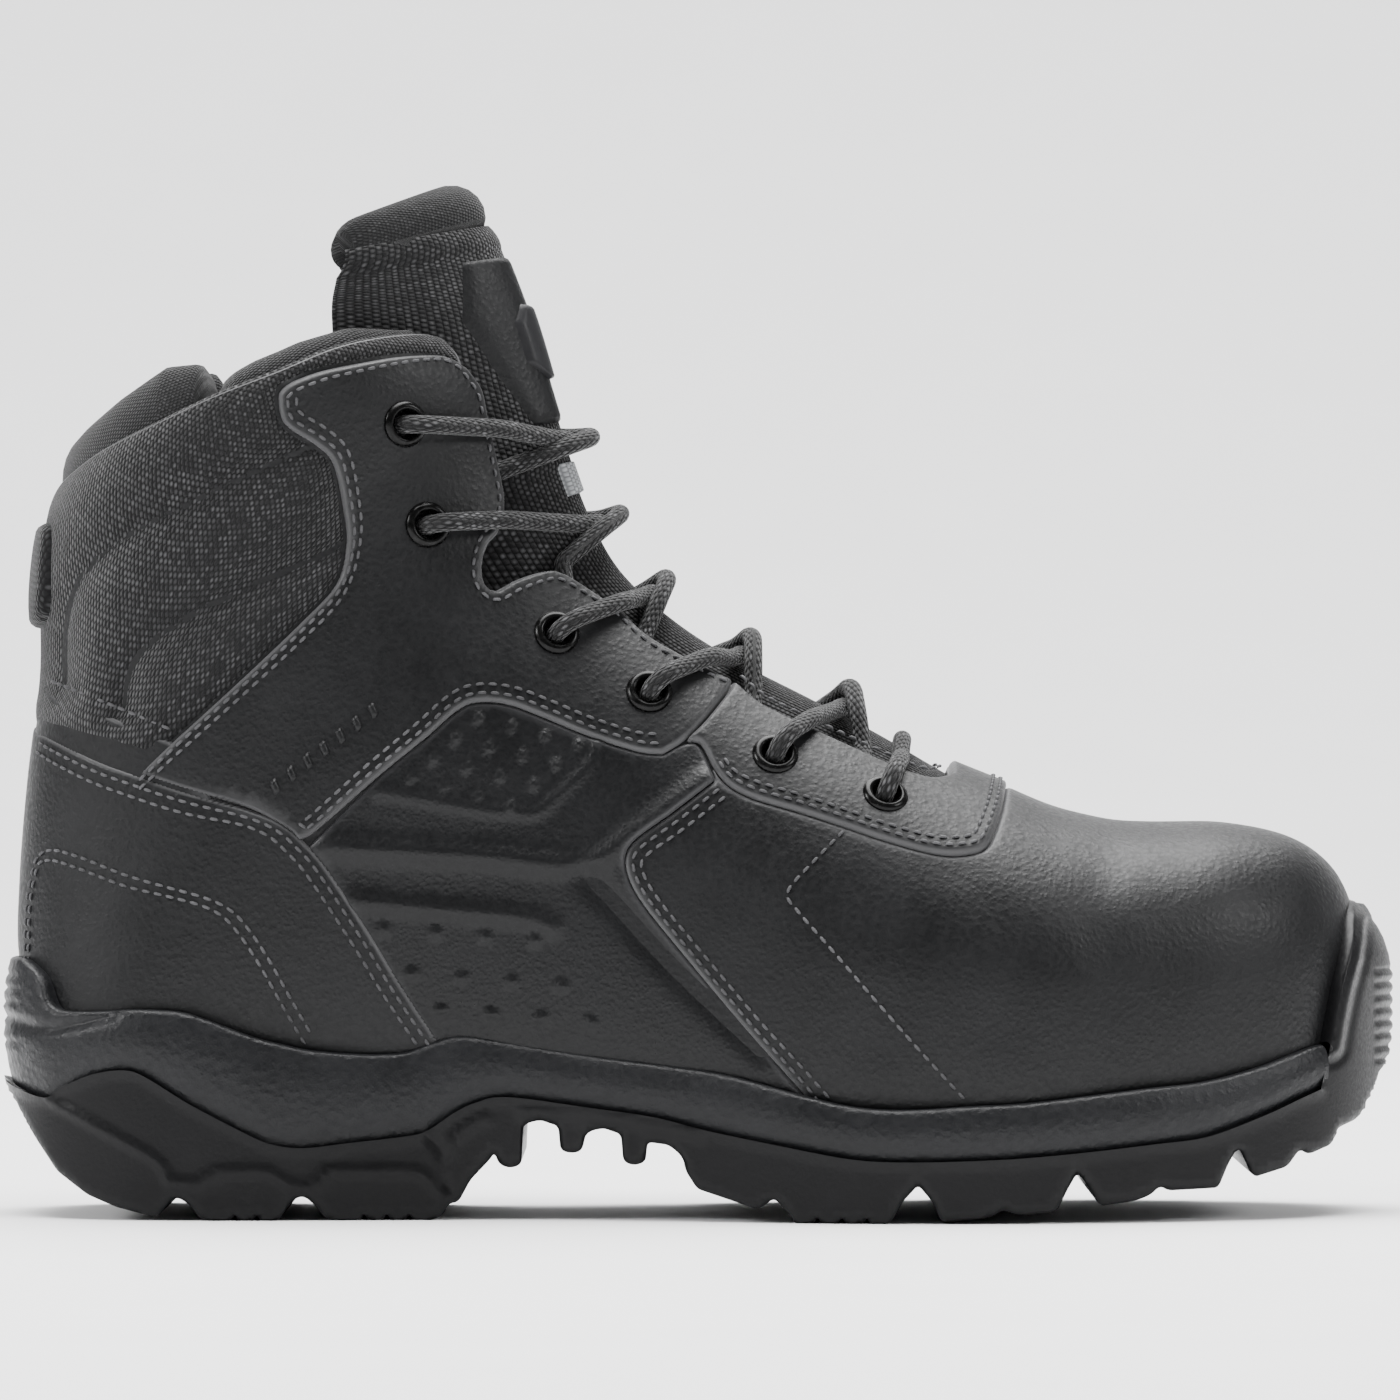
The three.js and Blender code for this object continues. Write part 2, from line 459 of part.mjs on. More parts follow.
let lining = body(deeper(0)).subtract(body(deeper(LINING), true));
const VAMP_LINING_REAR = [[5, 130], [-8, 100], [0, 60], [12, 10]];
for (const cutter of [facingZone, rollZone, seamWall(VAMP_LINING_REAR)]) lining = lining.subtract(cutter);
lining = lining.subtract(planPrism([[-170, -SEAM_GAP / 2], [9, -SEAM_GAP / 2], [9, SEAM_GAP / 2],
  [-170, SEAM_GAP / 2]], 10, 230));
const linings = lining.decompose();
addPiece("vamp_lining", pieceAt(linings, 60, 60, -1), MATERIALS.lining);
for (const [side, sign] of Object.entries(SIDES)) {
  addPiece("quarter_lining_" + side, pieceAt(linings, -80, 80, sign), MATERIALS.lining);
  addPiece("collar_padding_" + side, pieceAt(paddings, -110, 140, sign), MATERIALS.foam);
}

const FOOTBED_SIDE_CLEARANCE = 2; // room at its edges for lifting it by the heel
const footbedDepth = deeper(LINING + FOOTBED_SIDE_CLEARANCE);
const footbedGroup = new THREE.Group();
group.add(footbedGroup);
const footbedBottom = FOOT_LINING_DEPTH + LINING + SEAM_GAP + 0.4;
addPiece("footbed", body(footbedDepth).intersect(undersideBand(footbedBottom, footbedBottom + FOOTBED)),
  MATERIALS.fabric, footbedGroup);

// ---------------------------------------------------------------- collar edge
// How far the padded roll stands above the edge of the collar panel, by side view x, and the roll's centre line.
const ROLL = { clearance: LEATHER + 1, below: 14 };
const ROLL_HALF_WIDTH = [[-160, 5.4], [-88, 5.4], [-66, 2.2], [-40, 2.2]];
const ROLL_LIFT = [[-150, 1], [-147, 1], [-138, 5], [-128, 9], [-119, 11], [-112, 8], [-109.5, 4], [-108.5, 2.5],
  [-100, 4.2], [-90, 4.6], [-80, 3.5], [-68, 1], [-50, 0]];
function along(line, x) {
  const i = Math.max(1, line.findIndex((p) => p[0] >= x));
  const [a, b] = [line[i - 1], line[i]];
  return a[1] + ((b[1] - a[1]) * (x - a[0])) / (b[0] - a[0]);
}

const [collarLow, collarHigh] = SECTIONS.slice(-2);
const collarRow = collarLow.map((v, k) => (v + collarHigh[k]) / 2);
function rollRing(c, side) {
  const halfWidth = along(ROLL_HALF_WIDTH, sectionPoint(sectionAt(collarRow, 8), c, side)[0]);
  const s = sectionAt(collarRow, ROLL.clearance + halfWidth);
  const [x, y] = sectionPoint(s, c, side);
  const [xa, ya] = sectionPoint(s, Math.max(0, c - 0.01), side);
  const out = new THREE.Vector2(-(y - ya), x - xa).normalize();
  if (out.y * side < 0) out.negate();
  const edge = along(COLLAR_EDGE, x);
  const lift = along(ROLL_LIFT, x);
  const half = (ROLL.below + lift) / 2;
  const ring = [];
  for (let k = 0; k < 8; k++) {
    const turn = (2 * Math.PI * k) / 8;
    const sideways = halfWidth * Math.cos(turn);
    ring.push([x + out.x * sideways, y + out.y * sideways, edge + lift - half + half * Math.sin(turn)]);
  }
  return ring;
}

const NOTCH_TURN = 1.36; // the angle round the collar where the heel pad gives way to the roll
const PAD_TURNS = [0.36, 0.72, 1.05, NOTCH_TURN];
const BACK_CENTRE_TURN = 0.045;
addPiece("achilles_pad", loft([
  ...PAD_TURNS.map((turn) => rollRing(shareAt(turn), -1)).reverse(),
  rollRing(shareAt(BACK_CENTRE_TURN), -1),
  ...PAD_TURNS.map((turn) => rollRing(shareAt(turn), 1)),
]), MATERIALS.fabric);
const ROLL_TURNS = [NOTCH_TURN + 0.03, 1.6, 1.83, 2.06, 2.3, 2.5];
for (const [side, sign] of Object.entries(SIDES)) {
  addPiece("collar_roll_" + side, loft(ROLL_TURNS.map((turn) => rollRing(shareAt(turn), sign))), MATERIALS.fabric);
}
const tabZone = sidePrism([[-170, 144.5], [-146, 146], [-143, 168], [-170, 168]], -17, 17);
addPiece("heel_tab", body(-3.9).subtract(body(-0.4)).intersect(tabZone), MATERIALS.fabric);

// ---------------------------------------------------------------- tongue
// [crest x, z, inward direction x, z, half width, depth of the wings, centre y]
const TONGUE = [
  [68, 93.2, 0, -1, 18, 9, -0.5],
  [60, 97, 0, -1, 20, 12, -1],
  [52, 101.5, -0.1, -1, 21, 19, -1.5],
  [40, 108.5, -0.2, -0.98, 21.5, 26, -2.2],
  [24, 116.8, -0.3, -0.95, 22, 31, -3.2],
  [8, 125, -0.4, -0.92, 21.5, 33, -3.9],
  [-6, 134, -0.55, -0.84, 20.5, 35, -3.7],
  [-18, 145, -0.75, -0.66, 19.3, 39, -2.9],
  [-25, 157, -0.9, -0.43, 19.3, 43, -1.7],
  [-30, 170, -0.97, -0.24, 20, 46, -0.7],
  [-35, 186, -1, -0.1, 21, 46, -0.1],
  [-40, 203, -1, 0, 21.5, 43, 0],
  [-46, 218.5, -1, -0.2, 21, 36, 0],
];
const TONGUE_CURL = 1.7;
const TONGUE_STEPS = 6;
const TONGUE_FACE = 2;
const TONGUE_PAD = 3.6;
const TONGUE_LINING = 1;

// A point of the tongue at depth t under its face; across runs from -1 (outer wing) to 1 (inner wing).
function tonguePoint(row, t, across) {
  const [x, z, dx, dz, w, d, y] = row;
  const into = t + (d - t) * Math.abs(across) ** TONGUE_CURL;
  return [x + dx * into, y + (w - t) * across, z + dz * into];
}

function tongueRing(row, outer, inner, reach = 1) {
  const ring = [];
  const acrossAt = (j) => reach * (-1 + (2 * j) / TONGUE_STEPS);
  for (let j = 0; j <= TONGUE_STEPS; j++) ring.push(tonguePoint(row, outer, acrossAt(j)));
  for (let j = TONGUE_STEPS; j >= 0; j--) ring.push(tonguePoint(row, inner, acrossAt(j)));
  return ring;
}

const tongueLayer = (outer, inner) => loft(TONGUE.map((row) => tongueRing(row, outer, inner)));
const padStart = TONGUE_FACE + SEAM_GAP;
const liningStart = padStart + TONGUE_PAD + SEAM_GAP;
addPiece("tongue_face", tongueLayer(0, TONGUE_FACE), MATERIALS.fabric, tongueGroup);
addPiece("tongue_padding", tongueLayer(padStart, padStart + TONGUE_PAD), MATERIALS.foam, tongueGroup);
addPiece("tongue_lining", tongueLayer(liningStart, liningStart + TONGUE_LINING), MATERIALS.lining, tongueGroup);

// The row of the tongue whose crest is at height z.
function tongueAt(z) {
  const i = Math.max(1, TONGUE.findIndex((row) => row[1] >= z));
  const t = (z - TONGUE[i - 1][1]) / (TONGUE[i][1] - TONGUE[i - 1][1]);
  return TONGUE[i - 1].map((v, k) => v + (TONGUE[i][k] - v) * t);
}

function onTongue(outer, inner, spans) {
  return loft(spans.map(([z, reach]) => tongueRing(tongueAt(z), -inner, -outer, reach)));
}

addPiece("tongue_patch", onTongue(1.8, 0.4, [[179, 0.29], [190, 0.43], [202, 0.56], [216.5, 0.46]]),
  MATERIALS.leather, tongueGroup);
addPiece("tongue_badge", onTongue(3.2, 2.1, [[190, 0.14], [193, 0.24], [202, 0.24], [205.5, 0.14]]),
  MATERIALS.plastic, tongueGroup);
addPiece("lace_keeper", onTongue(1.8, 0.6, [[163.5, 0.2], [170.5, 0.2]]), MATERIALS.webbing, tongueGroup);

const topRollPath = [-1, -0.75, -0.5, -0.25, 0, 0.25, 0.5, 0.75, 1].map((across) => {
  const fall = Math.abs(across) ** TONGUE_CURL;
  return { x: -56.5 - 24 * fall, y: 20 * across, z: 226.2 - 8.3 * fall, rx: 7.5 - 3.5 * fall, rz: 7.2 - 1.2 * fall };
});
addPiece("tongue_top_roll", loft(topRollPath.map(({ x, y, z, rx, rz }) => {
  const ring = [];
  for (let k = 0; k < 8; k++) {
    const turn = (2 * Math.PI * k) / 8;
    ring.push([x + rx * Math.cos(turn), y, z + rz * Math.sin(turn)]);
  }
  return ring;
})), MATERIALS.fabric, tongueGroup);

// The folds that join the tongue to the quarters, low down behind the lacing.
const GUSSET_ROWS = [3, 4, 5, 6, 7];
const GUSSET_HALF = 0.4;
const GUSSET_DEPTH = FOOT_LINING_DEPTH + LINING + 1.7;
for (const [side, sign] of Object.entries(SIDES)) {
  const ends = GUSSET_ROWS.map((i) => {
    const inner = new THREE.Vector3(...tonguePoint(TONGUE[i], -0.7, sign * 0.95));
    const { s, c } = sectionThrough(inner.x, inner.z, GUSSET_DEPTH);
    const outer = new THREE.Vector3(inner.x, s.y + sign * s.w * widthShare(s, c), inner.z);
    return { inner, outer };
  });
  const rings = ends.map(({ inner, outer }, i) => {
    const run = ends[Math.min(i + 1, ends.length - 1)].inner.clone().sub(ends[Math.max(i - 1, 0)].inner);
    const across = new THREE.Vector3(-run.z, 0, run.x).normalize().multiplyScalar(GUSSET_HALF);
    return [inner.clone().sub(across), outer.clone().sub(across), outer.clone().add(across), inner.clone().add(across)]
      .map((v) => v.toArray());
  });
  addPiece("tongue_gusset_" + side, loft(rings), MATERIALS.fabric);
}

// ---------------------------------------------------------------- eyelets
const eyeletProfile = [[EYELET.hole, 1], [4.2, EYELET.top], [EYELET.flange, EYELET.seat], [EYELET.barrel, EYELET.seat],
  [EYELET.barrel, -EYELET.inner], [EYELET.rim, -EYELET.inner], [EYELET.rim, -EYELET.back],
  [EYELET.hole, -EYELET.back], [EYELET.hole, 1]].reverse().map(([r, h]) => new THREE.Vector2(r, h));
for (const place of eyeletPlaces) {
  const geometry = new THREE.LatheGeometry(eyeletProfile, EYELET_SIDES);
  geometry.applyQuaternion(place.turn);
  geometry.translate(...place.at);
  addPiece(place.name, solid(geometry), MATERIALS.paintedMetal);
}

// ---------------------------------------------------------------- lace
// Criss-cross lacing from the inside out at the bottom bar. Each strand enters an eyelet from outside, runs under the
// facing to its edge, comes out over the tongue and crosses to the next eyelet up on the other side.
// Row by row from the top: where a strand passes over the facing edge, where it comes out under it, and the height
// of the tongue's crest that it crosses.
const CROSSINGS = [
  { over: [-47, 177], under: [-45, 168], crest: 175 },
  { over: [-44.8, 155.8], under: [-27.4, 143.4], crest: 155.5 },
  { over: [-19, 136.2], under: [-9.5, 129], crest: 139 },
  { over: [1, 123.8], under: [12, 116.2], crest: 124.5 },
  { over: [24, 109.6], under: [37, 103.8], crest: 112.5 },
  { over: [44, 100.8], crest: 105.5 },
];
const LACE_GAP = 0.8;
const LACE_BEND = 4.5; // radius of the bend into an eyelet
const LACE_OUTSIDE = 5; // height over the leather where the bend into an eyelet starts
const LACE_INSIDE = 6.1; // depth under the leather of the run behind the facing

const eyeletAt = (row, side) => eyeletPlaces.find((e) => e.name === "eyelet_" + side + "_" + row);
const offUpper = ([x, z], sign, height) => onUpper(x, z, sign).addScaledVector(outward(x, z, sign), height);

// The way through an eyelet, from a strand outside it towards a point inside it.
function throughEyelet(place, outsidePoint, insidePoint) {
  const flat = (p) => {
    const v = p.clone().sub(place.at);
    return v.addScaledVector(place.normal, -v.dot(place.normal)).normalize();
  };
  const outside = flat(outsidePoint);
  const inside = flat(insidePoint);
  const at = (height, direction, reach) =>
    place.at.clone().addScaledVector(place.normal, height).addScaledVector(direction, reach);
  const bend = LACE_BEND * (1 - Math.SQRT1_2);
  return [
    at(LACE_OUTSIDE, outside, LACE_BEND),
    at(LACE_OUTSIDE - bend, outside, bend),
    at(LACE_OUTSIDE - LACE_BEND, outside, 0),
    at(LACE_BEND - LACE_INSIDE, inside, 0),
    at(bend - LACE_INSIDE, inside, bend),
    at(-LACE_INSIDE, inside, LACE_BEND),
  ];
}

// A point just above the tongue, at the crest's height and so far across.
function overTongue(z, across, height) {
  return new THREE.Vector3(...tonguePoint(tongueAt(z), -height, across));
}

// Points from inside eyelet row + 1 on one side, up over the tongue, and into eyelet row on the other side.
function strand(row, intoSide, insideTarget) {
  const fromSide = intoSide === "lateral" ? "medial" : "lateral";
  const [from, into] = [SIDES[fromSide], SIDES[intoSide]];
  const { over, under, crest } = CROSSINGS[row - 1];
  const low = LACE_RADIUS + LACE_GAP;
  const lift = intoSide === "medial" ? 2 * LACE_RADIUS + LACE_GAP : 0;
  const overEdge = offUpper(over, into, LACE_RADIUS + 1.2);
  return [
    offUpper(under, from, -LEATHER - LACE_RADIUS - LACE_GAP),
    overTongue(crest - 3, from * 0.5, low + 0.6),
    overTongue(crest - 1, from * 0.24, low + lift * 0.8),
    overTongue(crest, 0, low + lift),
    overTongue(crest + 1, into * 0.26, low + lift * 0.7 + 1),
    overEdge,
    ...throughEyelet(eyeletAt(row, intoSide), overEdge, insideTarget),
  ];
}

function bottomBar() {
  const { over, crest } = CROSSINGS[5];
  const low = LACE_RADIUS + LACE_GAP;
  const ends = Object.fromEntries(Object.entries(SIDES).map(([side, sign]) => {
    const edge = offUpper(over, sign, LACE_RADIUS + 1.2);
    const under = offUpper(CROSSINGS[4].under, sign, -LEATHER - LACE_RADIUS - LACE_GAP);
    return [side, [overTongue(crest, sign * 0.45, low), edge, ...throughEyelet(eyeletAt(6, side), edge, under)]];
  }));
  return [...ends.medial.reverse(), overTongue(crest, 0, low), ...ends.lateral];
}

// The ends go in at the top eyelets and hang down inside the shaft.
const TAIL = [[-74, 174.5, 24.2], [-81, 168, 24.5], [-84, 158, 24.6], [-84.5, 140, 24.6], [-84.5, 118, 24.6],
  [-84.5, 97, 24.6]];
const tailPoints = (sign) => TAIL.map(([x, z, y]) => new THREE.Vector3(x, sign * y, z));

// One half of the lace: up from the bottom bar, changing sides at each crossing, to the tail.
function half(startSide) {
  const points = [];
  let side = startSide;
  for (let row = 5; row >= 1; row--) {
    side = side === "lateral" ? "medial" : "lateral";
    const insideTarget = row > 1
      ? offUpper(CROSSINGS[row - 2].under, SIDES[side], -LEATHER - LACE_RADIUS - LACE_GAP)
      : tailPoints(SIDES[side])[0];
    points.push(...strand(row, side, insideTarget));
  }
  points.push(...tailPoints(SIDES[side]));
  return points;
}

// A closed tube of a few sides along a line of points.
function tube(points, radius, sides) {
  const up = new THREE.Vector3(0, 1, 0.01);
  const rings = points.map((p, i) => {
    const before = points[Math.max(0, i - 1)];
    const after = points[Math.min(points.length - 1, i + 1)];
    const tangent = after.clone().sub(before).normalize();
    const right = up.clone().addScaledVector(tangent, -up.dot(tangent)).normalize();
    const over = tangent.clone().cross(right);
    up.copy(right);
    const ring = [];
    for (let k = 0; k < sides; k++) {
      const turn = (2 * Math.PI * k) / sides;
      const offset = right.clone().multiplyScalar(Math.cos(turn)).addScaledVector(over, Math.sin(turn));
      ring.push(p.clone().addScaledVector(offset, radius).toArray());
    }
    return ring;
  });
  return loft(rings);
}

const laceRoute = [...half("medial").reverse(), ...bottomBar(), ...half("lateral")];
addPiece("lace", tube(laceRoute, LACE_RADIUS, LACE_SIDES), MATERIALS.lace);
const AGLET = { length: 20, radius: 1.9 };
for (const [side, sign] of Object.entries(SIDES)) {
  const end = tailPoints(sign).at(-1);
  const top = new THREE.Vector3(end.x, end.y, end.z - SEAM_GAP);
  const bottom = new THREE.Vector3(end.x, end.y, end.z - SEAM_GAP - AGLET.length);
  addPiece("aglet_" + side, tube([top, bottom], AGLET.radius, LACE_SIDES), MATERIALS.plastic);
}

export default group;
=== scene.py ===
"""Looks for the steel toe work boot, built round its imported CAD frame.

Lengths in this file are millimetres until a mesh is made. +X is the toe, +Z is up, -Y the outer side.
The upper is one surface, described by sections as in the CAD part. A place on it is the length along the
boot and the turn round the section: turn 0 is the sole or back line and turn pi the instep or front line.
The inner side has positive turns and the outer side negative ones. Panels are outlines on that surface.
"""
import math

import bpy
import numpy as np
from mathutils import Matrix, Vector
from mathutils.geometry import delaunay_2d_cdt


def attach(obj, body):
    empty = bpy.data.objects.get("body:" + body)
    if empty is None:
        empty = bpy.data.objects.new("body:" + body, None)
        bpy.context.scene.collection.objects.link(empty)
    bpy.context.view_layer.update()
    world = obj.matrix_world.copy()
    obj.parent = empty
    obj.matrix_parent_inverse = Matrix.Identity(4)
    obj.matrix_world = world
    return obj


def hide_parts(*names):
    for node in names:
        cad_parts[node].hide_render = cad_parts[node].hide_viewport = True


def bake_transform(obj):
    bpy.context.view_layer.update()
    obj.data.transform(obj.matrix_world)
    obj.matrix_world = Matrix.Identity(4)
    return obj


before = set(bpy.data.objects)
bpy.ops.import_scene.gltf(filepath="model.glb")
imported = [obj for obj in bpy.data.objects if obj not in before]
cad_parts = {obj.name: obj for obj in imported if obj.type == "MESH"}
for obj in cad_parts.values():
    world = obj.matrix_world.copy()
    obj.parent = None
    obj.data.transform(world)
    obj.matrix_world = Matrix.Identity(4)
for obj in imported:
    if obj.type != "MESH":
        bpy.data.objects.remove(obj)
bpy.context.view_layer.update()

MM = 0.001
TAU = 2 * math.pi
TURN_MM = 45.0  # length round a section for one radian of turn, in the flat chart of the upper
SIDES = {"lateral": -1, "medial": 1}

# ------------------------------------------------------------------ the upper's surface
# [sole or back x, z, instep or front x, z, half width, centre y, width share at the sole,
#  height share of the widest place, roundness of the top]
SECTIONS = np.array([
    [150.6, 38, 150.6, 58, 9, 9, 0.85, 0.45, 2],
    [148.5, 35, 148.5, 69, 16.5, 8.7, 0.9, 0.42, 2.1],
    [143.5, 33, 143.5, 78.5, 25, 7.6, 0.93, 0.4, 2.2],
    [134, 31, 134, 85, 34.5, 5.8, 0.94, 0.38, 2.3],
    [119, 29, 119, 88.2, 42.5, 4.2, 0.94, 0.36, 2.4],
    [101, 27, 101, 88.6, 48.5, 2.8, 0.94, 0.35, 2.4],
    [83, 25.5, 83, 91.2, 52.3, 1, 0.95, 0.35, 2.3],
    [66, 24.3, 67, 97.5, 53.5, -0.5, 0.95, 0.34, 2.2],
    [47, 23.5, 50, 104.5, 52, -1.7, 0.94, 0.34, 2.15],
    [24, 24.5, 30, 114, 48, -3.5, 0.92, 0.35, 2.1],
    [0, 27.5, 10, 124, 42.5, -4, 0.9, 0.37, 2.1],
    [-26, 31, -8, 136.5, 38, -3.8, 0.86, 0.4, 2.05],
    [-55, 33, -22, 147, 36, -3, 0.84, 0.42, 2],
    [-90, 34, -29.5, 156, 37, -1.8, 0.85, 0.44, 2],
    [-120, 35, -32.8, 165, 37.5, -0.8, 0.84, 0.46, 2],
    [-138, 38, -35, 170, 37.5, -0.3, 0.72, 0.48, 2],
    [-149, 45, -36.3, 174, 37.3, 0, 0.4, 0.5, 2],
    [-153.6, 58, -37.5, 178, 37, 0, 0.1, 0.5, 2],
    [-153.8, 75, -39, 183.5, 36.6, 0, 0, 0.5, 2],
    [-152, 98, -41, 189.5, 36.8, 0, 0, 0.5, 2],
    [-149.4, 120, -43.5, 194, 38, 0, 0, 0.5, 2],
    [-149, 140, -47, 197.5, 39.5, 0, 0, 0.5, 2],
    [-147.2, 158, -51.5, 200, 40.5, 0, 0, 0.5, 2],
    [-145.5, 172, -57, 206, 41.5, 0, 0, 0.5, 2],
    [-144, 200, -66, 228, 41.5, 0, 0, 0.5, 2],
])
TOE_TIP = SECTIONS[0, 0]
TOE_LENGTH = 50  # behind the toe's tip, where a lining's depth also moves it back
BLUNT_WIDTH = 34  # narrower sections take less of a lining's depth
FOOT_LINING_DEPTH = 4.6
COLLAR_LINING_DEPTH = 9.0
LINING = 1.3
FIRST_COLLAR_SECTION = 17
LAST_SECTION = 23
SMALL = 0.01  # step in section or turn, for the slope of the upper


def arc_steps(line):
    """Length along a line at each of its points."""
    return np.concatenate([[0], np.cumsum(np.linalg.norm(np.diff(line, axis=0), axis=1))])


def catmull(before, start, end, after, t):
    """A point on the smooth curve from start to end."""
    return 0.5 * (2 * start + (end - before) * t + (2 * before - 5 * start + 4 * end - after) * t ** 2
                  + (3 * start - before - 3 * end + after) * t ** 3)


def blended(rows, u):
    """Rows of a table at fractional row numbers u."""
    last = len(rows) - 1
    u = np.clip(np.atleast_1d(u), 0, last)
    i = np.minimum(u.astype(int), last - 1)
    picks = [rows[np.clip(i + k, 0, last)] for k in (-1, 0, 1, 2)]
    return catmull(*picks, (u - i)[:, None])


def lining_depth(u):
    """Depth of the lining's outer face at fractional section u."""
    share = np.clip((u - FIRST_COLLAR_SECTION) / (LAST_SECTION - FIRST_COLLAR_SECTION), 0, 1)
    return FOOT_LINING_DEPTH + (COLLAR_LINING_DEPTH - FOOT_LINING_DEPTH) * share


def ring_points(u, v, depth=0.0):
    """Points of the upper at section u and turn v, depth mm inside it."""
    xb, zb, xf, zf, w, yc, h0, cm, n = blended(SECTIONS, u).T
    nose = np.minimum(1, w / BLUNT_WIDTH)
    back = depth * np.clip((xb - TOE_TIP + TOE_LENGTH) / TOE_LENGTH, 0, 1)
    length = np.hypot(xf - xb, zf - zb)
    cx = (xf - xb) / length * depth * nose
    cz = (zf - zb) / length * depth * nose
    v = np.mod(v, TAU)
    side = np.where(v <= math.pi, 1.0, -1.0)
    c = (1 - np.cos(v)) / 2
    h0 = np.clip(h0, 0, 1)
    low = h0 + (1 - h0) * np.sqrt(np.clip(1 - ((cm - c) / cm) ** 2, 0, 1))
    high = np.clip(1 - np.clip((c - cm) / (1 - cm), 0, 1) ** n, 0, 1) ** (1 / n)
    share = np.where(c < cm, low, high)
    x = xb - back + cx + (xf - xb - 2 * cx) * c
    z = zb + cz + (zf - zb - 2 * cz) * c
    return np.stack([x, yc + side * (w - depth * nose) * share, z], axis=1)


U_STEPS = np.linspace(0, len(SECTIONS) - 1, 1201)
middle_line = ring_points(U_STEPS, np.full(U_STEPS.shape, math.pi / 2))
ALONG_STEPS = arc_steps(middle_line)


def section_at(along):
    return np.interp(along, ALONG_STEPS, U_STEPS)


def on_upper(along, turn, lift=0.0, depth=0.0):
    """Points at a place on the upper, and the unit vectors out of it."""
    along = np.atleast_1d(np.asarray(along, float))
    turn = np.broadcast_to(np.asarray(turn, float), along.shape)
    u = section_at(along)
    inside = depth(u) if callable(depth) else depth
    point = ring_points(u, turn, inside)
    du = ring_points(u + SMALL, turn, inside) - ring_points(u - SMALL, turn, inside)
    dv = ring_points(u, turn + SMALL, inside) - ring_points(u, turn - SMALL, inside)
    normal = np.cross(du, dv)
    normal /= np.maximum(np.linalg.norm(normal, axis=1), 1e-9)[:, None]
    middle = (ring_points(u, np.zeros_like(turn)) + ring_points(u, np.full_like(turn, math.pi))) / 2
    normal *= np.where(np.sum(normal * (point - middle), axis=1) < 0, -1.0, 1.0)[:, None]
    return point + normal * np.reshape(lift, (-1, 1)), normal


def chart(points):
    """Places on the upper, (along, turn on the inner side), of side view points (x, z)."""
    points = np.asarray(points, float)
    rows = blended(SECTIONS, U_STEPS)
    dx, dz = rows[:, 2] - rows[:, 0], rows[:, 3] - rows[:, 1]
    rx = points[:, 0, None] - rows[None, :, 0]
    rz = points[:, 1, None] - rows[None, :, 1]
    off = dx * rz - dz * rx
    c = (rx * dx + rz * dz) / (dx ** 2 + dz ** 2)
    outside = np.maximum(0, np.maximum(-c, c - 1))
    score = np.where(off[:, :-1] * off[:, 1:] <= 0, outside[:, :-1], 9 + np.abs(off[:, :-1]))
    k = score.argmin(axis=1)
    pick = np.arange(len(points))
    t = np.clip(off[pick, k] / (off[pick, k] - off[pick, k + 1] + 1e-12), 0, 1)
    share = np.clip(c[pick, k] * (1 - t) + c[pick, k + 1] * t, 0, 1)
    along = ALONG_STEPS[k] * (1 - t) + ALONG_STEPS[k + 1] * t
    return np.stack([along, np.arccos(1 - 2 * share)], axis=1)


def spline(points, step=1.5):
    """A smooth line through points, as points no further than step apart."""
    points = np.asarray(points, float)
    line = []
    for i in range(len(points) - 1):
        before, after = points[max(i - 1, 0)], points[min(i + 2, len(points) - 1)]
        count = max(2, int(np.linalg.norm(points[i + 1] - points[i]) / step) + 1)
        for t in np.arange(count) / count:
            line.append(catmull(before, points[i], points[i + 1], after, t))
    return np.array(line + [points[-1]])


def resampled(line, step):
    """A line as points of even spacing, about step apart."""
    steps = arc_steps(line)
    count = max(2, int(round(steps[-1] / step)) + 1)
    at = np.linspace(0, steps[-1], count)
    return np.stack([np.interp(at, steps, line[:, k]) for k in range(line.shape[1])], axis=1)


# ------------------------------------------------------------------ meshes
def mesh_object(name, points, faces, material, uv=None, edge=None):
    """A smooth mesh from points in millimetres. uv is in mm too; edge is 1 where the lighter edge colour is
    used (a panel's cut edge, or the midsole lip's painted highlight), 0 away from it.
    """
    mesh = bpy.data.meshes.new(name)
    mesh.from_pydata((np.asarray(points) * MM).tolist(), [], [list(map(int, f)) for f in faces])
    mesh.update()
    mesh.polygons.foreach_set("use_smooth", np.ones(len(mesh.polygons), dtype=bool))
    if uv is not None:
        layer = mesh.uv_layers.new(name="weave")
        corners = np.zeros(len(mesh.loops), dtype=int)
        mesh.loops.foreach_get("vertex_index", corners)
        layer.data.foreach_set("uv", np.asarray(uv, float)[corners].ravel())
    if edge is not None:
        attribute = mesh.attributes.new("edge", "FLOAT", "POINT")
        attribute.data.foreach_set("value", np.asarray(edge, float))
    obj = bpy.data.objects.new(name, mesh)
    bpy.context.scene.collection.objects.link(obj)
    mesh.materials.append(material)
    return obj


def grid_faces(rows, columns, closed=False):
    """Quads of a grid of points stored row by row."""
    wide = columns if closed else columns - 1
    return [(i * columns + j, i * columns + (j + 1) % columns,
             (i + 1) * columns + (j + 1) % columns, (i + 1) * columns + j)
            for i in range(rows - 1) for j in range(wide)]


def joined(parts):
    """Several (points, faces) lists as one."""
    points, faces, count = [], [], 0
    for some_points, some_faces in parts:
        points.append(np.asarray(some_points))
        faces += [tuple(k + count for k in f) for f in some_faces]
        count += len(some_points)
    return np.concatenate(points), faces


def nearest(points, line):
    """Distance from each point to the nearest point of a dense line."""
    batch = 2000
    best = np.zeros(len(points))
    for start in range(0, len(points), batch):
        gap = points[start:start + batch, None, :] - line[None, :, :]
        best[start:start + batch] = np.sqrt((gap ** 2).sum(axis=2).min(axis=1))
    return best


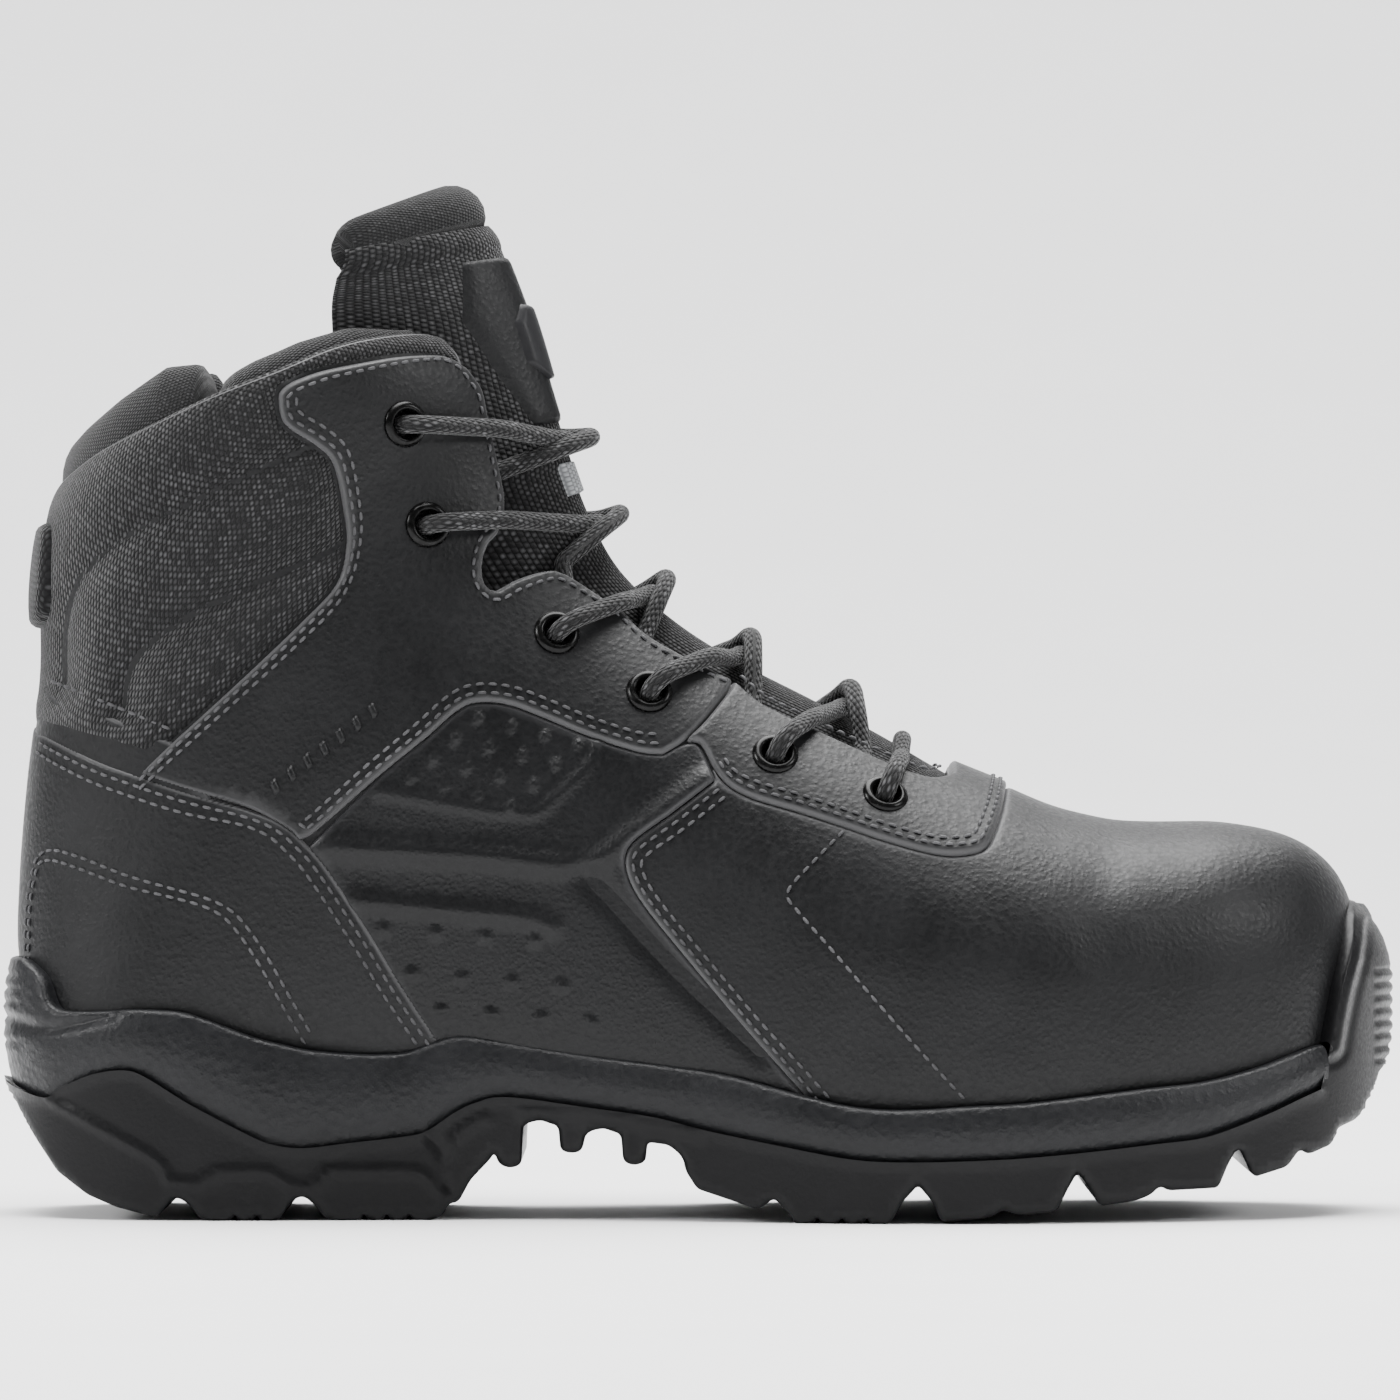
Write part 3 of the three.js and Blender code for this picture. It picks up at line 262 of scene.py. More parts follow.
def inside_polygon(points, polygon):
    """Whether each flat point is inside a closed outline."""
    x, y = points[:, 0], points[:, 1]
    inside = np.zeros(len(points), dtype=bool)
    for a, b in zip(polygon, np.roll(polygon, -1, axis=0)):
        if a[1] == b[1]:
            continue
        crosses = (a[1] > y) != (b[1] > y)
        inside ^= crosses & (x < (b[0] - a[0]) * (y - a[1]) / (b[1] - a[1]) + a[0])
    return inside


LEAST_ALONG, LEAST_TURN = 0.15, 4.0  # least mm on the upper for one unit of length along, and of turn


def flat_inset(places, distance, closed=True):
    """Places on the upper moved sideways by distance mm, to the left of the line's run."""
    along, turn = places[:, 0], places[:, 1]
    step_a, _ = on_upper(along + 0.5, turn)
    back_a, _ = on_upper(along - 0.5, turn)
    step_t, _ = on_upper(along, turn + SMALL)
    back_t, _ = on_upper(along, turn - SMALL)
    scale_a = np.maximum(np.linalg.norm(step_a - back_a, axis=1), LEAST_ALONG)
    scale_t = np.maximum(np.linalg.norm(step_t - back_t, axis=1) / (2 * SMALL), LEAST_TURN)
    if closed:
        run = np.roll(places, -1, axis=0) - np.roll(places, 1, axis=0)
    else:
        run = np.gradient(places, axis=0)
    real = run * np.stack([scale_a, scale_t], axis=1)
    normal = np.stack([-real[:, 1], real[:, 0]], axis=1)
    normal /= np.maximum(np.linalg.norm(normal, axis=1), 1e-9)[:, None]
    return places + normal * distance / np.stack([scale_a, scale_t], axis=1)


def signed_area(polygon):
    x, y = polygon[:, 0], polygon[:, 1]
    return 0.5 * np.sum(x * np.roll(y, -1) - y * np.roll(x, -1))


EYELETS = [(-66.5, 178.2), (-61.4, 155.5), (-32.4, 131), (-11.5, 117.7), (16.7, 103.5), (41.2, 94.5)]
EYELET_HOLE = 3.8  # radius of the hole cut for an eyelet's barrel
HOLE_REACH = 5  # how far that hole reaches to each side of the upper


def eyelet_axes():
    """The centre of each eyelet on the upper, and the way out through it."""
    axes = {}
    for side, sign in SIDES.items():
        for number, place in enumerate(EYELETS, 1):
            along, turn = chart([place])[0]
            (centre,), (normal,) = on_upper(along, sign * turn, 0.0)
            axes[side, number] = centre, normal
    return axes


EYELET_AXES = eyelet_axes()


def at_an_eyelet(points):
    """Whether each point is inside the hole cut for an eyelet."""
    inside = np.zeros(len(points), dtype=bool)
    for centre, normal in EYELET_AXES.values():
        offset = points - centre
        height = offset @ normal
        across = np.linalg.norm(offset - height[:, None] * normal, axis=1)
        inside |= (across < EYELET_HOLE) & (np.abs(height) < HOLE_REACH)
    return inside


def filled(loop, inner, tolerance):
    """Points and triangles that fill a flat outline, with the inner points among them."""
    flat = np.vstack([loop, inner])
    outline = [list(range(len(loop)))]
    made = delaunay_2d_cdt([Vector(p) for p in flat.tolist()], [], outline, 1, tolerance)
    return np.array([tuple(p) for p in made[0]]), made[2]


LIGHTER_EDGE_WIDTH = 1.3  # width of a panel's lighter edge
EDGE_INSETS = (0.25, 0.6, 1.0)  # where a rolled edge has rings of points, as shares of its width
ROW_SHARE = 0.87  # distance between rows of a triangular grid, as a share of its spacing


def patch(name, outline, material, spacing=1.6, lift=0.6, roll=1.0, drop=1.0, relief=None, depth=0.0):
    """A piece of the upper inside an outline of (along, turn) places, with its edges rolled down.

    It lies lift mm over the upper. Its edge turns down over the last roll mm, to drop mm under the upper.
    """
    outline = np.asarray(outline, float) * [1, TURN_MM]
    if signed_area(outline) < 0:
        outline = outline[::-1]
    outline = resampled(np.vstack([outline, outline[:1]]), spacing * 0.8)[:-1]
    places = outline / [1, TURN_MM]
    rings = []
    if roll > 0:
        for inset in EDGE_INSETS:
            moved = flat_inset(places, inset * roll)
            clear = nearest(moved * [1, TURN_MM], outline) > 0.12 * roll
            rings.append(moved[clear & inside_polygon(moved * [1, TURN_MM], outline)])
    low, high = outline.min(axis=0), outline.max(axis=0)
    columns = np.arange(low[0], high[0], spacing)
    grid_x, grid_y = np.meshgrid(columns, np.arange(low[1], high[1], spacing * ROW_SHARE))
    grid_x = grid_x + (np.arange(grid_x.shape[0]) % 2)[:, None] * spacing / 2
    grid = np.stack([grid_x.ravel(), grid_y.ravel()], axis=1)
    grid = grid[inside_polygon(grid, outline)]
    grid = grid[nearest(grid, outline) > max(0.6 * spacing, 1.2 * roll)]
    flat, faces = filled(outline, np.vstack([*[ring * [1, TURN_MM] for ring in rings], grid]), 1e-4)
    places = flat / [1, TURN_MM]
    base, _ = on_upper(places[:, 0], places[:, 1], 0.0, depth)
    border, _ = on_upper(outline[:, 0], outline[:, 1] / TURN_MM, 0.0, depth)
    distance = nearest(base, np.vstack([border, (border + np.roll(border, -1, axis=0)) / 2]))
    height = np.full(len(flat), float(lift))
    if roll > 0:
        share = 1 - np.clip(distance / roll, 0, 1)
        height -= (lift + drop) * (1 - np.sqrt(np.clip(1 - share ** 2, 0, 1)))
    if relief is not None:
        height += relief(base, distance)
    points, _ = on_upper(places[:, 0], places[:, 1], height, depth)
    a, b, c = (points[[f[k] for f in faces]] for k in range(3))
    _, outward = on_upper(*places[[f[0] for f in faces]].T, 0.0, depth)
    flipped = np.sum(np.cross(b - a, c - a) * outward, axis=1) < 0
    middles = (a + b + c) / 3
    holes = at_an_eyelet(middles)
    faces = [f[::-1] if turn else f for f, turn, hole in zip(faces, flipped, holes) if not hole]
    edge = np.clip(1 - distance / LIGHTER_EDGE_WIDTH, 0, 1)
    return mesh_object(name, points, faces, material, uv=flat, edge=edge)


def one_side(outline, sign):
    """The outline on one side, its turns made negative on the outer side."""
    return np.asarray(outline) * [1, sign]


def over_crest(path):
    """A closed outline over the instep, from one side's path that starts and ends near the crest."""
    return np.vstack([path * [1, -1] + [0, TAU], path[::-1]])


def round_back(path):
    """A closed outline round the heel, from one side's path that starts and ends near the back line."""
    return np.vstack([path * [1, -1], path[::-1]])


def path_of(*lines):
    """Side view lines joined into one path of places on the inner side."""
    return np.vstack([chart(spline(line)) for line in lines])


# ------------------------------------------------------------------ materials
def new_material(name, roughness, specular=0.22):
    """A material, its node tree and its shader."""
    material = bpy.data.materials.new(name)
    material.use_nodes = True
    shader = material.node_tree.nodes["Principled BSDF"]
    shader.inputs["Roughness"].default_value = roughness
    shader.inputs["Specular IOR Level"].default_value = specular
    return material, material.node_tree, shader


def add_node(tree, kind, inputs=None, **settings):
    node = tree.nodes.new(kind)
    for key, value in settings.items():
        setattr(node, key, value)
    for key, value in (inputs or {}).items():
        if isinstance(value, bpy.types.NodeSocket):
            tree.links.new(value, node.inputs[key])
        else:
            node.inputs[key].default_value = value
    return node


def maths(tree, operation, a, b=None):
    inputs = {0: a} if b is None else {0: a, 1: b}
    return add_node(tree, "ShaderNodeMath", inputs, operation=operation).outputs[0]


def place_mm(tree):
    """The place on the object, in millimetres."""
    coordinates = add_node(tree, "ShaderNodeTexCoord").outputs["Object"]
    scaled = add_node(tree, "ShaderNodeMapping", {"Vector": coordinates, "Scale": (1000, 1000, 1000)})
    return scaled.outputs[0]


def noise(tree, vector, size, detail):
    """Noise whose features are about size mm apart."""
    inputs = {"Vector": vector, "Scale": 1 / size, "Detail": detail}
    return add_node(tree, "ShaderNodeTexNoise", inputs).outputs["Fac"]


def spread(tree, value, low, high, to_low=0, to_high=1):
    """The value, stretched from one range to another and kept inside it."""
    inputs = {"Value": value, "From Min": low, "From Max": high, "To Min": to_low, "To Max": to_high}
    return add_node(tree, "ShaderNodeMapRange", inputs).outputs["Result"]


def mixed(tree, share, first, second):
    """A colour between two, each of them three numbers or another node's colour."""
    node = add_node(tree, "ShaderNodeMix", {0: share}, data_type="RGBA")
    for place, colour in ((6, first), (7, second)):
        if isinstance(colour, tuple):
            node.inputs[place].default_value = (*colour, 1)
        else:
            tree.links.new(colour, node.inputs[place])
    return node.outputs[2]


def lighter(colour, times):
    return tuple(times * c for c in colour)


def bump(tree, shader, height, strength, distance):
    inputs = {"Height": height, "Strength": strength, "Distance": distance * MM}
    tree.links.new(add_node(tree, "ShaderNodeBump", inputs).outputs[0], shader.inputs["Normal"])


def edge_amount(tree):
    return add_node(tree, "ShaderNodeAttribute", attribute_name="edge").outputs["Fac"]


def leather_material(name, colour, edge_colour, grain=1.1, roughness=0.42, depth=0.35):
    """Grained leather: pebbles, fine creases, cloudy colour, and lighter cut edges (on the midsole's foam, a
    painted highlight along its lip).
    """
    material, tree, shader = new_material(name, roughness)
    where = place_mm(tree)
    cell_inputs = {"Vector": where, "Scale": 1 / grain}
    cells = add_node(tree, "ShaderNodeTexVoronoi", cell_inputs, feature="SMOOTH_F1")
    cell = cells.outputs["Distance"]
    fine = noise(tree, where, 0.5, 4)
    cloud = noise(tree, where, 18, 3)
    creases = noise(tree, where, 3.5, 5)
    height = maths(tree, "ADD", maths(tree, "MULTIPLY", cell, -1.0), maths(tree, "MULTIPLY", fine, 0.5))
    height = maths(tree, "ADD", height, maths(tree, "MULTIPLY", creases, 0.9))
    bump(tree, shader, height, 0.55, depth)
    base = mixed(tree, spread(tree, cloud, 0.3, 0.7), colour, lighter(colour, 1.5))
    # lighter towards a marked edge: a lighter cut edge on the panels, a painted highlight on the midsole's
    # lip
    edge_share = maths(tree, "MULTIPLY", edge_amount(tree), 0.55)
    tree.links.new(mixed(tree, edge_share, base, edge_colour), shader.inputs["Base Color"])
    rough = spread(tree, maths(tree, "ADD", cell, maths(tree, "MULTIPLY", cloud, 0.6)), 0.2, 1.1,
                   roughness - 0.07, roughness + 0.16)
    tree.links.new(rough, shader.inputs["Roughness"])
    return material


def woven_material(name, colour, glint, pitch, glint_share=0.3, roughness=0.85, depth=0.5, slant=0.0):
    """Woven cloth: a bead for each yarn on top, some of them catching the light."""
    material, tree, shader = new_material(name, roughness, 0.15)
    shader.inputs["Sheen Weight"].default_value = 0.15
    uv = add_node(tree, "ShaderNodeUVMap", uv_map="weave").outputs[0]
    mapping = {"Vector": uv, "Rotation": (0, 0, slant), "Scale": (1 / pitch[0], 1 / pitch[1], 1)}
    turned = add_node(tree, "ShaderNodeMapping", mapping).outputs[0]
    split = add_node(tree, "ShaderNodeSeparateXYZ", {"Vector": turned})
    x, y = split.outputs[0], split.outputs[1]
    row = maths(tree, "FLOOR", y)
    shifted = maths(tree, "ADD", x, maths(tree, "MULTIPLY", row, 0.5))
    bead_x = maths(tree, "ABSOLUTE", maths(tree, "SINE", maths(tree, "MULTIPLY", shifted, math.pi)))
    bead_y = maths(tree, "ABSOLUTE", maths(tree, "SINE", maths(tree, "MULTIPLY", y, math.pi)))
    bead = maths(tree, "MULTIPLY", bead_x, bead_y)
    cell = add_node(tree, "ShaderNodeCombineXYZ", {"X": maths(tree, "FLOOR", shifted), "Y": row})
    lots = add_node(tree, "ShaderNodeTexWhiteNoise", {"Vector": cell.outputs[0]}, noise_dimensions="2D")
    lot = lots.outputs["Value"]
    where = place_mm(tree)
    fuzz = noise(tree, where, 0.35, 3)
    cloud = noise(tree, where, 14, 2)
    # painted glints: some yarn tops are lit up towards the glint colour
    bright = spread(tree, lot, 1 - glint_share, 1)
    shine = maths(tree, "MULTIPLY", bright, spread(tree, bead, 0.35, 0.95))
    shine = maths(tree, "MULTIPLY", shine, spread(tree, cloud, 0.3, 0.7, 0.5))
    # painted shade between the yarns: the colour darkens to 0.45 of itself where a yarn's bead is low
    shade = mixed(tree, spread(tree, bead, 0.0, 0.6), lighter(colour, 0.45), colour)
    tree.links.new(mixed(tree, shine, shade, glint), shader.inputs["Base Color"])
    bump(tree, shader, maths(tree, "ADD", bead, maths(tree, "MULTIPLY", fuzz, 0.35)), 0.8, depth)
    return material


def moulded_material(name, colour, roughness, grain, depth, variation=1.35):
    """Moulded rubber, foam or plastic: a fine texture and slightly cloudy colour."""
    material, tree, shader = new_material(name, roughness, 0.16)
    where = place_mm(tree)
    fine = noise(tree, where, grain, 4)
    cloud = noise(tree, where, 25, 3)
    base = mixed(tree, spread(tree, cloud, 0.3, 0.7), colour, lighter(colour, variation))
    tree.links.new(base, shader.inputs["Base Color"])
    bump(tree, shader, fine, 0.5, depth)
    rough = spread(tree, fine, 0.3, 0.7, roughness - 0.08, roughness + 0.12)
    tree.links.new(rough, shader.inputs["Roughness"])
    return material


def metal_material(name, colour, roughness, scratch=0.3):
    """Metal with fine scratches that change its colour and shine."""
    material, tree, shader = new_material(name, roughness)
    shader.inputs["Metallic"].default_value = 0.9
    where = place_mm(tree)
    streaks = noise(tree, where, 1.2, 5)
    base = mixed(tree, spread(tree, streaks, 0.35, 0.65), colour, lighter(colour, 1.6))
    tree.links.new(base, shader.inputs["Base Color"])
    bump(tree, shader, streaks, scratch, 0.05)
    rough = spread(tree, streaks, 0.3, 0.7, roughness - 0.06, roughness + 0.1)
    tree.links.new(rough, shader.inputs["Roughness"])
    return material


LEATHER = leather_material("leather", (0.0042, 0.0043, 0.0047), (0.17, 0.17, 0.174), roughness=0.38,
                           depth=0.2)
LEATHER_RAISED = leather_material("leather_moulded", (0.0036, 0.0037, 0.0041), (0.08, 0.08, 0.083),
                                  grain=0.9, roughness=0.33, depth=0.18)
CLOTH_BLACK = (0.008, 0.008, 0.0085)
CORDURA = woven_material("cordura", CLOTH_BLACK, (0.085, 0.085, 0.088), (1.15, 0.9), glint_share=0.8)
TWILL = woven_material("twill", CLOTH_BLACK, (0.05, 0.05, 0.052), (0.9, 0.7), glint_share=0.5, depth=0.3,
                       slant=0.6)
LINING_CLOTH = woven_material("lining", (0.016, 0.016, 0.018), (0.07, 0.07, 0.075), (1.6, 1.6),
                              glint_share=0.4, roughness=0.9, depth=0.35)
# the midsole's lighter edge colour is a painted highlight along the top of its lip
MIDSOLE_FOAM = leather_material("midsole_foam", (0.0062, 0.0064, 0.0072), (0.03, 0.03, 0.033),
                                grain=1.6, roughness=0.36)
RUBBER = moulded_material("outsole_rubber", (0.0038, 0.0038, 0.0042), 0.36, 0.8, 0.1)
THREAD = moulded_material("thread", (0.045, 0.045, 0.047), 0.55, 0.3, 0.1, 1.8)
PLASTIC = moulded_material("plastic", (0.013, 0.013, 0.014), 0.35, 1.2, 0.05)
BOARD = moulded_material("board", (0.24, 0.2, 0.14), 0.8, 0.6, 0.2, 1.2)
FOAM = moulded_material("foam", (0.04, 0.04, 0.043), 0.95, 0.5, 0.4, 1.3)
PAINTED = metal_material("eyelet_paint", (0.010, 0.010, 0.010), 0.22)
STEEL = metal_material("toe_cap_steel", (0.3, 0.31, 0.32), 0.35, 0.5)
WEBBING = woven_material("webbing", (0.3, 0.31, 0.32), (0.42, 0.43, 0.44), (1.0, 0.8), glint_share=0.5,
                         roughness=0.8, depth=0.3)
BRAID = woven_material("lace_braid", (0.007, 0.007, 0.0075), (0.13, 0.13, 0.135), (1.7, 0.85),
                       glint_share=0.35, roughness=0.6, slant=0.75)

# ------------------------------------------------------------------ edges and seams in the side view
MIDSOLE_TOP = [(-154.6, 58), (-149.6, 54), (-146, 47.3), (-138, 46.4), (-127, 47), (-117, 46.6), (-111, 45),
               (-100, 41), (-93, 39.2), (-86, 37.8), (-75, 37), (-66, 37.4), (-60.7, 39.2), (-53, 41),
               (-38.8, 38.9), (-24.5, 36.7), (-10, 34.9), (4.3, 32.9), (18.7, 29.3), (33, 26), (45, 25.2),
               (60, 26), (74, 26.8), (100, 29.7), (113, 31), (126, 34), (138, 38), (141.6, 38.7)]
UNDER = 6.0  # how far the panels run down behind the sole's top edge
HEEL_TOP = [(-152, 109.6), (-148, 108.6), (-135, 102.8), (-125.6, 99.5), (-116, 96.3), (-100.6, 91.8),
            (-93, 88.5), (-88.4, 84.6), (-83.3, 78.8), (-73.6, 64), (-67, 53), (-59, 40.7), (-56, 36)]
STAY_TOP = [(-149.6, 136), (-147.6, 135.4), (-146.7, 118.5), (-132.3, 112.7), (-118.4, 106.9)]
QUARTER_REAR = [(-125.6, 99.9), (-118.4, 106.7), (-111, 113.4), (-100, 123.5), (-89.3, 133.7),
                (-81.5, 142.2), (-79.2, 150.8), (-79.7, 158), (-82, 168.8), (-85.7, 173), (-93, 178),
                (-94.3, 184.5)]
QUARTER_TOP = [(-94.3, 184.5), (-92, 187), (-85.5, 189.7), (-78, 191.5), (-67.5, 193.5), (-58, 193.8),
               (-53, 191.3)]
FACING_UPPER = [(-53, 191.3), (-49.5, 186.5), (-48, 180), (-46, 171), (-44, 161), (-45, 154.6), (-48, 151),
                (-49, 145.6), (-48, 142), (-45.7, 141), (-41.6, 143.3), (-35.3, 145.4), (-31.5, 145),
                (-25, 141), (-18, 136), (-11, 130), (0, 123.8), (7.2, 120.4)]
FACING_LOWER = [(7.2, 120.4), (13.7, 115), (22.7, 110.5), (32.4, 106), (40.7, 102.2), (47.3, 99.5),
                (52.5, 98.3), (56.5, 99.3)]
QUARTER_FRONT = [(7.2, 120.4), (6.6, 118.6), (1, 111.6), (-3.8, 107), (-8.3, 104.2)]
QUARTER_LOWER = [(-8.3, 104.2), (-13.5, 104.6), (-24.5, 108), (-35, 112.3), (-43, 115.2), (-50, 115.7),
                 (-54.5, 113.7), (-61, 108), (-72, 99), (-88, 85.3), (-91, 86.4)]
THROAT_REAR = [(7.2, 120.4), (6.6, 118.6), (1, 111.6), (-3.2, 107.2), (0, 106.7), (2.7, 101.5)]
THROAT_LOWER = [(2.7, 101.5), (5.9, 97.5), (11.7, 94.3), (22.7, 91), (32.4, 87.8), (42, 84.6), (51.8, 82),
                (58.3, 81.7), (64, 83.3), (67.3, 89.8), (69, 95), (69.8, 96.9)]
VAMP_REAR = [(3.4, 98.4), (-6.3, 91), (-14.2, 85.3), (-16.7, 81.5), (-16, 76.3), (-12.2, 69.8), (-3.2, 58.7),
             (9.8, 43.2), (22.7, 28.6), (27, 22.5)]
COLLAR_TOP = [(-149, 163), (-147, 165), (-136, 172.4), (-122, 178.8), (-108, 185), (-95, 190),
              (-78.5, 196.7), (-61, 199.6), (-55, 196), (-53, 191.3)]
QUILTING = [[(-87, 173), (-111.6, 161.6), (-128.7, 153), (-139.5, 144.5), (-143.6, 133.7), (-144, 119)],
            [(-80, 150.8), (-96.5, 143.6), (-114.5, 135), (-126.7, 125.8), (-130, 114)]]


def lowered(line, drop):
    return [(x, z - drop) for x, z in line]


def between(line, low, high):
    return [p for p in line if low <= p[0] <= high]


# ------------------------------------------------------------------ relief of the moulded side panel
DIMPLE_RADIUS = 1.35
UPPER_DIMPLES = [(-49.7 + 7.5 * i - 5 * j, 112.3 - 2 * i - 4.5 * j) for i in range(4) for j in range(4)]
LOWER_ROWS = ((-70.4, 65), (-64.6, 55), (-58, 47))
LOWER_DIMPLES = [(x + 11.2 * i, z - 0.9 * i) for x, z in LOWER_ROWS for i in range(4)]
RIDGE = [(-83, 83.4), (-50, 81.5), (-26.6, 79.7), (-13.5, 87.3), (1, 98.3)]
STEP = [(-77, 71.3), (-57.4, 69.5), (-39.2, 67.7), (-33, 65.5)]
FIELD_EDGE = [(-72, 96), (-64.6, 94.7), (-50, 92), (-39.2, 91), (-35.3, 91.8), (-29.5, 97), (-24.4, 102),
              (-23, 106.4)]
FOLD = [(-26.6, 78.5), (-19.4, 71.3), (-6, 56.7), (13.5, 38.3)]
# line, rise, width
MOULDED = [(RIDGE, 1.3, 2.6), (STEP, 0.9, 2.0), (FIELD_EDGE, 0.7, 1.4), (FOLD, -1.1, 3.0)]


def side_distance(points, line):
    """Distance in the side view from points to a smooth line."""
    return nearest(points[:, [0, 2]], spline(line, 0.8))


def side_panel_relief(points, distance):
    """Raised dimples and ridges, and one sunk fold."""
    xz = points[:, [0, 2]]
    height = np.zeros(len(points))
    for x, z in UPPER_DIMPLES + LOWER_DIMPLES:
        gap = np.hypot(xz[:, 0] - x, xz[:, 1] - z)
        height += 0.85 * np.clip(1 - (gap / DIMPLE_RADIUS) ** 4, 0, 1)
    for line, rise, width in MOULDED:
        height += rise * np.exp(-(side_distance(points, line) / width) ** 2)
    return height


def quilted_relief(points, distance):
    """Padding that swells between its edges and the two sewn channels."""
    first, second = (side_distance(points, line) for line in QUILTING)
    gap = np.minimum(distance, np.minimum(first, second))
    return 2.8 * (1 - np.exp(-gap / 4.5)) - 1.2


WRINKLES = [[(96, 88), (88, 70), (92, 52)], [(58, 78), (70, 62), (68, 44)], [(36, 74), (44, 58), (40, 40)]]
CAP_EDGE = [(92, 92), (91, 62), (94, 40)]


def vamp_relief(points, distance):
    """Slight hollows where a boot flexes behind the toe cap."""
    height = np.zeros(len(points))
    for line in WRINKLES:
        height -= 0.35 * np.exp(-(side_distance(points, line) / 6.0) ** 2)
    return height - 0.15 * np.exp(-(side_distance(points, CAP_EDGE) / 5.0) ** 2)


# ------------------------------------------------------------------ panels
def finished(piece, body, nodes=()):
    """The piece, put on its body, in place of the CAD nodes that it covers."""
    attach(piece, body)
    if nodes:
        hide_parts(*nodes)
    return piece


toe_edge = [(150.56, 47), (150.58, 55), (150.6, 57.9)]
vamp_bottom = lowered(between(MIDSOLE_TOP, 30, 139), UNDER)
vamp_path = path_of(THROAT_LOWER[::-1], VAMP_REAR, vamp_bottom, toe_edge)
finished(patch("vamp_leather", over_crest(vamp_path), LEATHER, 1.7, 0.3, 1.1, 0.8, vamp_relief), "root",
         ["vamp"])
throat_path = path_of(FACING_LOWER[::-1], THROAT_REAR, THROAT_LOWER)
finished(patch("throat_leather", over_crest(throat_path), LEATHER, 1.4, 1.3, 1.1, 1.6), "root",
         ["throat_overlay"])
heel_bottom = lowered(between(MIDSOLE_TOP, -150, -57), UNDER)[::-1]
heel_path = path_of(HEEL_TOP, heel_bottom + [(-153.4, 50)])
finished(patch("heel_leather", round_back(heel_path), LEATHER, 1.6, 1.0, 1.1, 1.3), "root", ["heel_overlay"])
stay_path = path_of(STAY_TOP, [(-118.4, 106.9), (-113, 101), (-108, 91)],
                    [(-108, 91), (-135, 98), (-152, 104)])
finished(patch("stay_leather", round_back(stay_path), LEATHER, 1.6, 0.5, 1.0, 0.9), "root", ["back_stay"])
collar_path = path_of([(-150, 108), (-138, 105), (-120, 100)], QUARTER_REAR[1:] + QUARTER_TOP[1:],
                      COLLAR_TOP[::-1])
collar = patch("collar_cloth", round_back(collar_path), CORDURA, 1.7, 0.1, 1.2, 0.6, quilted_relief)
finished(collar, "root", ["collar_panel_lateral", "collar_panel_medial", "collar_padding_lateral",
                          "collar_padding_medial"])
for side, sign in SIDES.items():
    quarter = path_of(QUARTER_REAR, QUARTER_TOP, FACING_UPPER, QUARTER_FRONT, QUARTER_LOWER,
                      [(-91, 86.4), (-100.6, 91.8), (-116, 96.3), (-125.6, 99.5)])
    finished(patch("quarter_leather_" + side, one_side(quarter, sign), LEATHER, 1.5, 1.1, 1.1, 1.4), "root",
             ["quarter_" + side])
    panel = path_of([(-88, 83)] + QUARTER_LOWER[::-1][2:],
                    [(-8.3, 104.2), (-3.5, 106.6), (0, 106), (3.4, 98.4)],
                    VAMP_REAR, lowered(between(MIDSOLE_TOP, -58, 22)[::-1], UNDER),
                    [(-57, 35), (-67, 51), (-80, 72), (-88, 83)])
    finished(patch("side_leather_" + side, one_side(panel, sign), LEATHER_RAISED, 0.95, 0.1, 0.9, 0.8,
                   side_panel_relief), "root", ["side_panel_" + side])

# ------------------------------------------------------------------ inside of the upper
SKIN_LIFT = -0.7
SKIN_THICKNESS = 1.5
COLLAR_CENTRE = 22.5  # the section that the collar's edge runs through
BACK_TURN = 0.004
TOE_SECTION = 0.03  # as far forward as the inner pieces go


def thickened(piece, thickness, offset):
    """The piece with a thickness: offset 0 is to both sides, -1 to the inner one."""
    solid = piece.modifiers.new("thickness", "SOLIDIFY")
    solid.thickness = thickness * MM
    solid.offset = offset
    return piece


def along_at(section):
    """Length along the boot at a fractional section."""
    return np.interp(section, U_STEPS, ALONG_STEPS)


def down_the_back(from_section):
    """Places down the back and along the sole to the toe, all near the middle line."""
    along = along_at(np.linspace(from_section, TOE_SECTION, 160))
    return np.stack([along, np.full(along.shape, BACK_TURN)], axis=1)


toe_turns = np.linspace(0.1, math.pi, 12)
toe_rise = np.stack([np.full(toe_turns.shape, along_at(TOE_SECTION)), toe_turns], axis=1)
skin_top = path_of(FACING_LOWER[::-1], FACING_UPPER[::-1], lowered(COLLAR_TOP[::-1], 0.6))
skin_path = np.vstack([skin_top, down_the_back(21.9), toe_rise])
skin = finished(patch("upper_leather_core", over_crest(skin_path), LEATHER, 3.2, SKIN_LIFT, 0), "root")
thickened(skin, SKIN_THICKNESS, -1)

FACING_BACK = [(79, 99), (74, 84), (58, 80), (38, 82), (10, 92), (-20, 107), (-42, 122), (-71, 150),
               (-76, 172), (-77, 178)]
lining_top = path_of(FACING_BACK, lowered(between(COLLAR_TOP[::-1], -148, -80), 9))
lining_path = np.vstack([lining_top, down_the_back(21.4), toe_rise])
finished(patch("lining_cloth", over_crest(lining_path), LINING_CLOTH, 3.0, 0, 0,
               depth=lambda u: lining_depth(u) + LINING), "root",
         ["vamp_lining", "quarter_lining_lateral", "quarter_lining_medial"])


# ------------------------------------------------------------------ footbed
FOOTBED_LOW = 6.6
FOOTBED_THICKNESS = 5.5
FOOTBED_EDGE = 8.6  # depth of its edge inside the upper
FOOTBED_TURN = 0.62  # turn of the upper beside that edge
FOOTBED_HEEL, FOOTBED_TOE = -144.6, 142.0


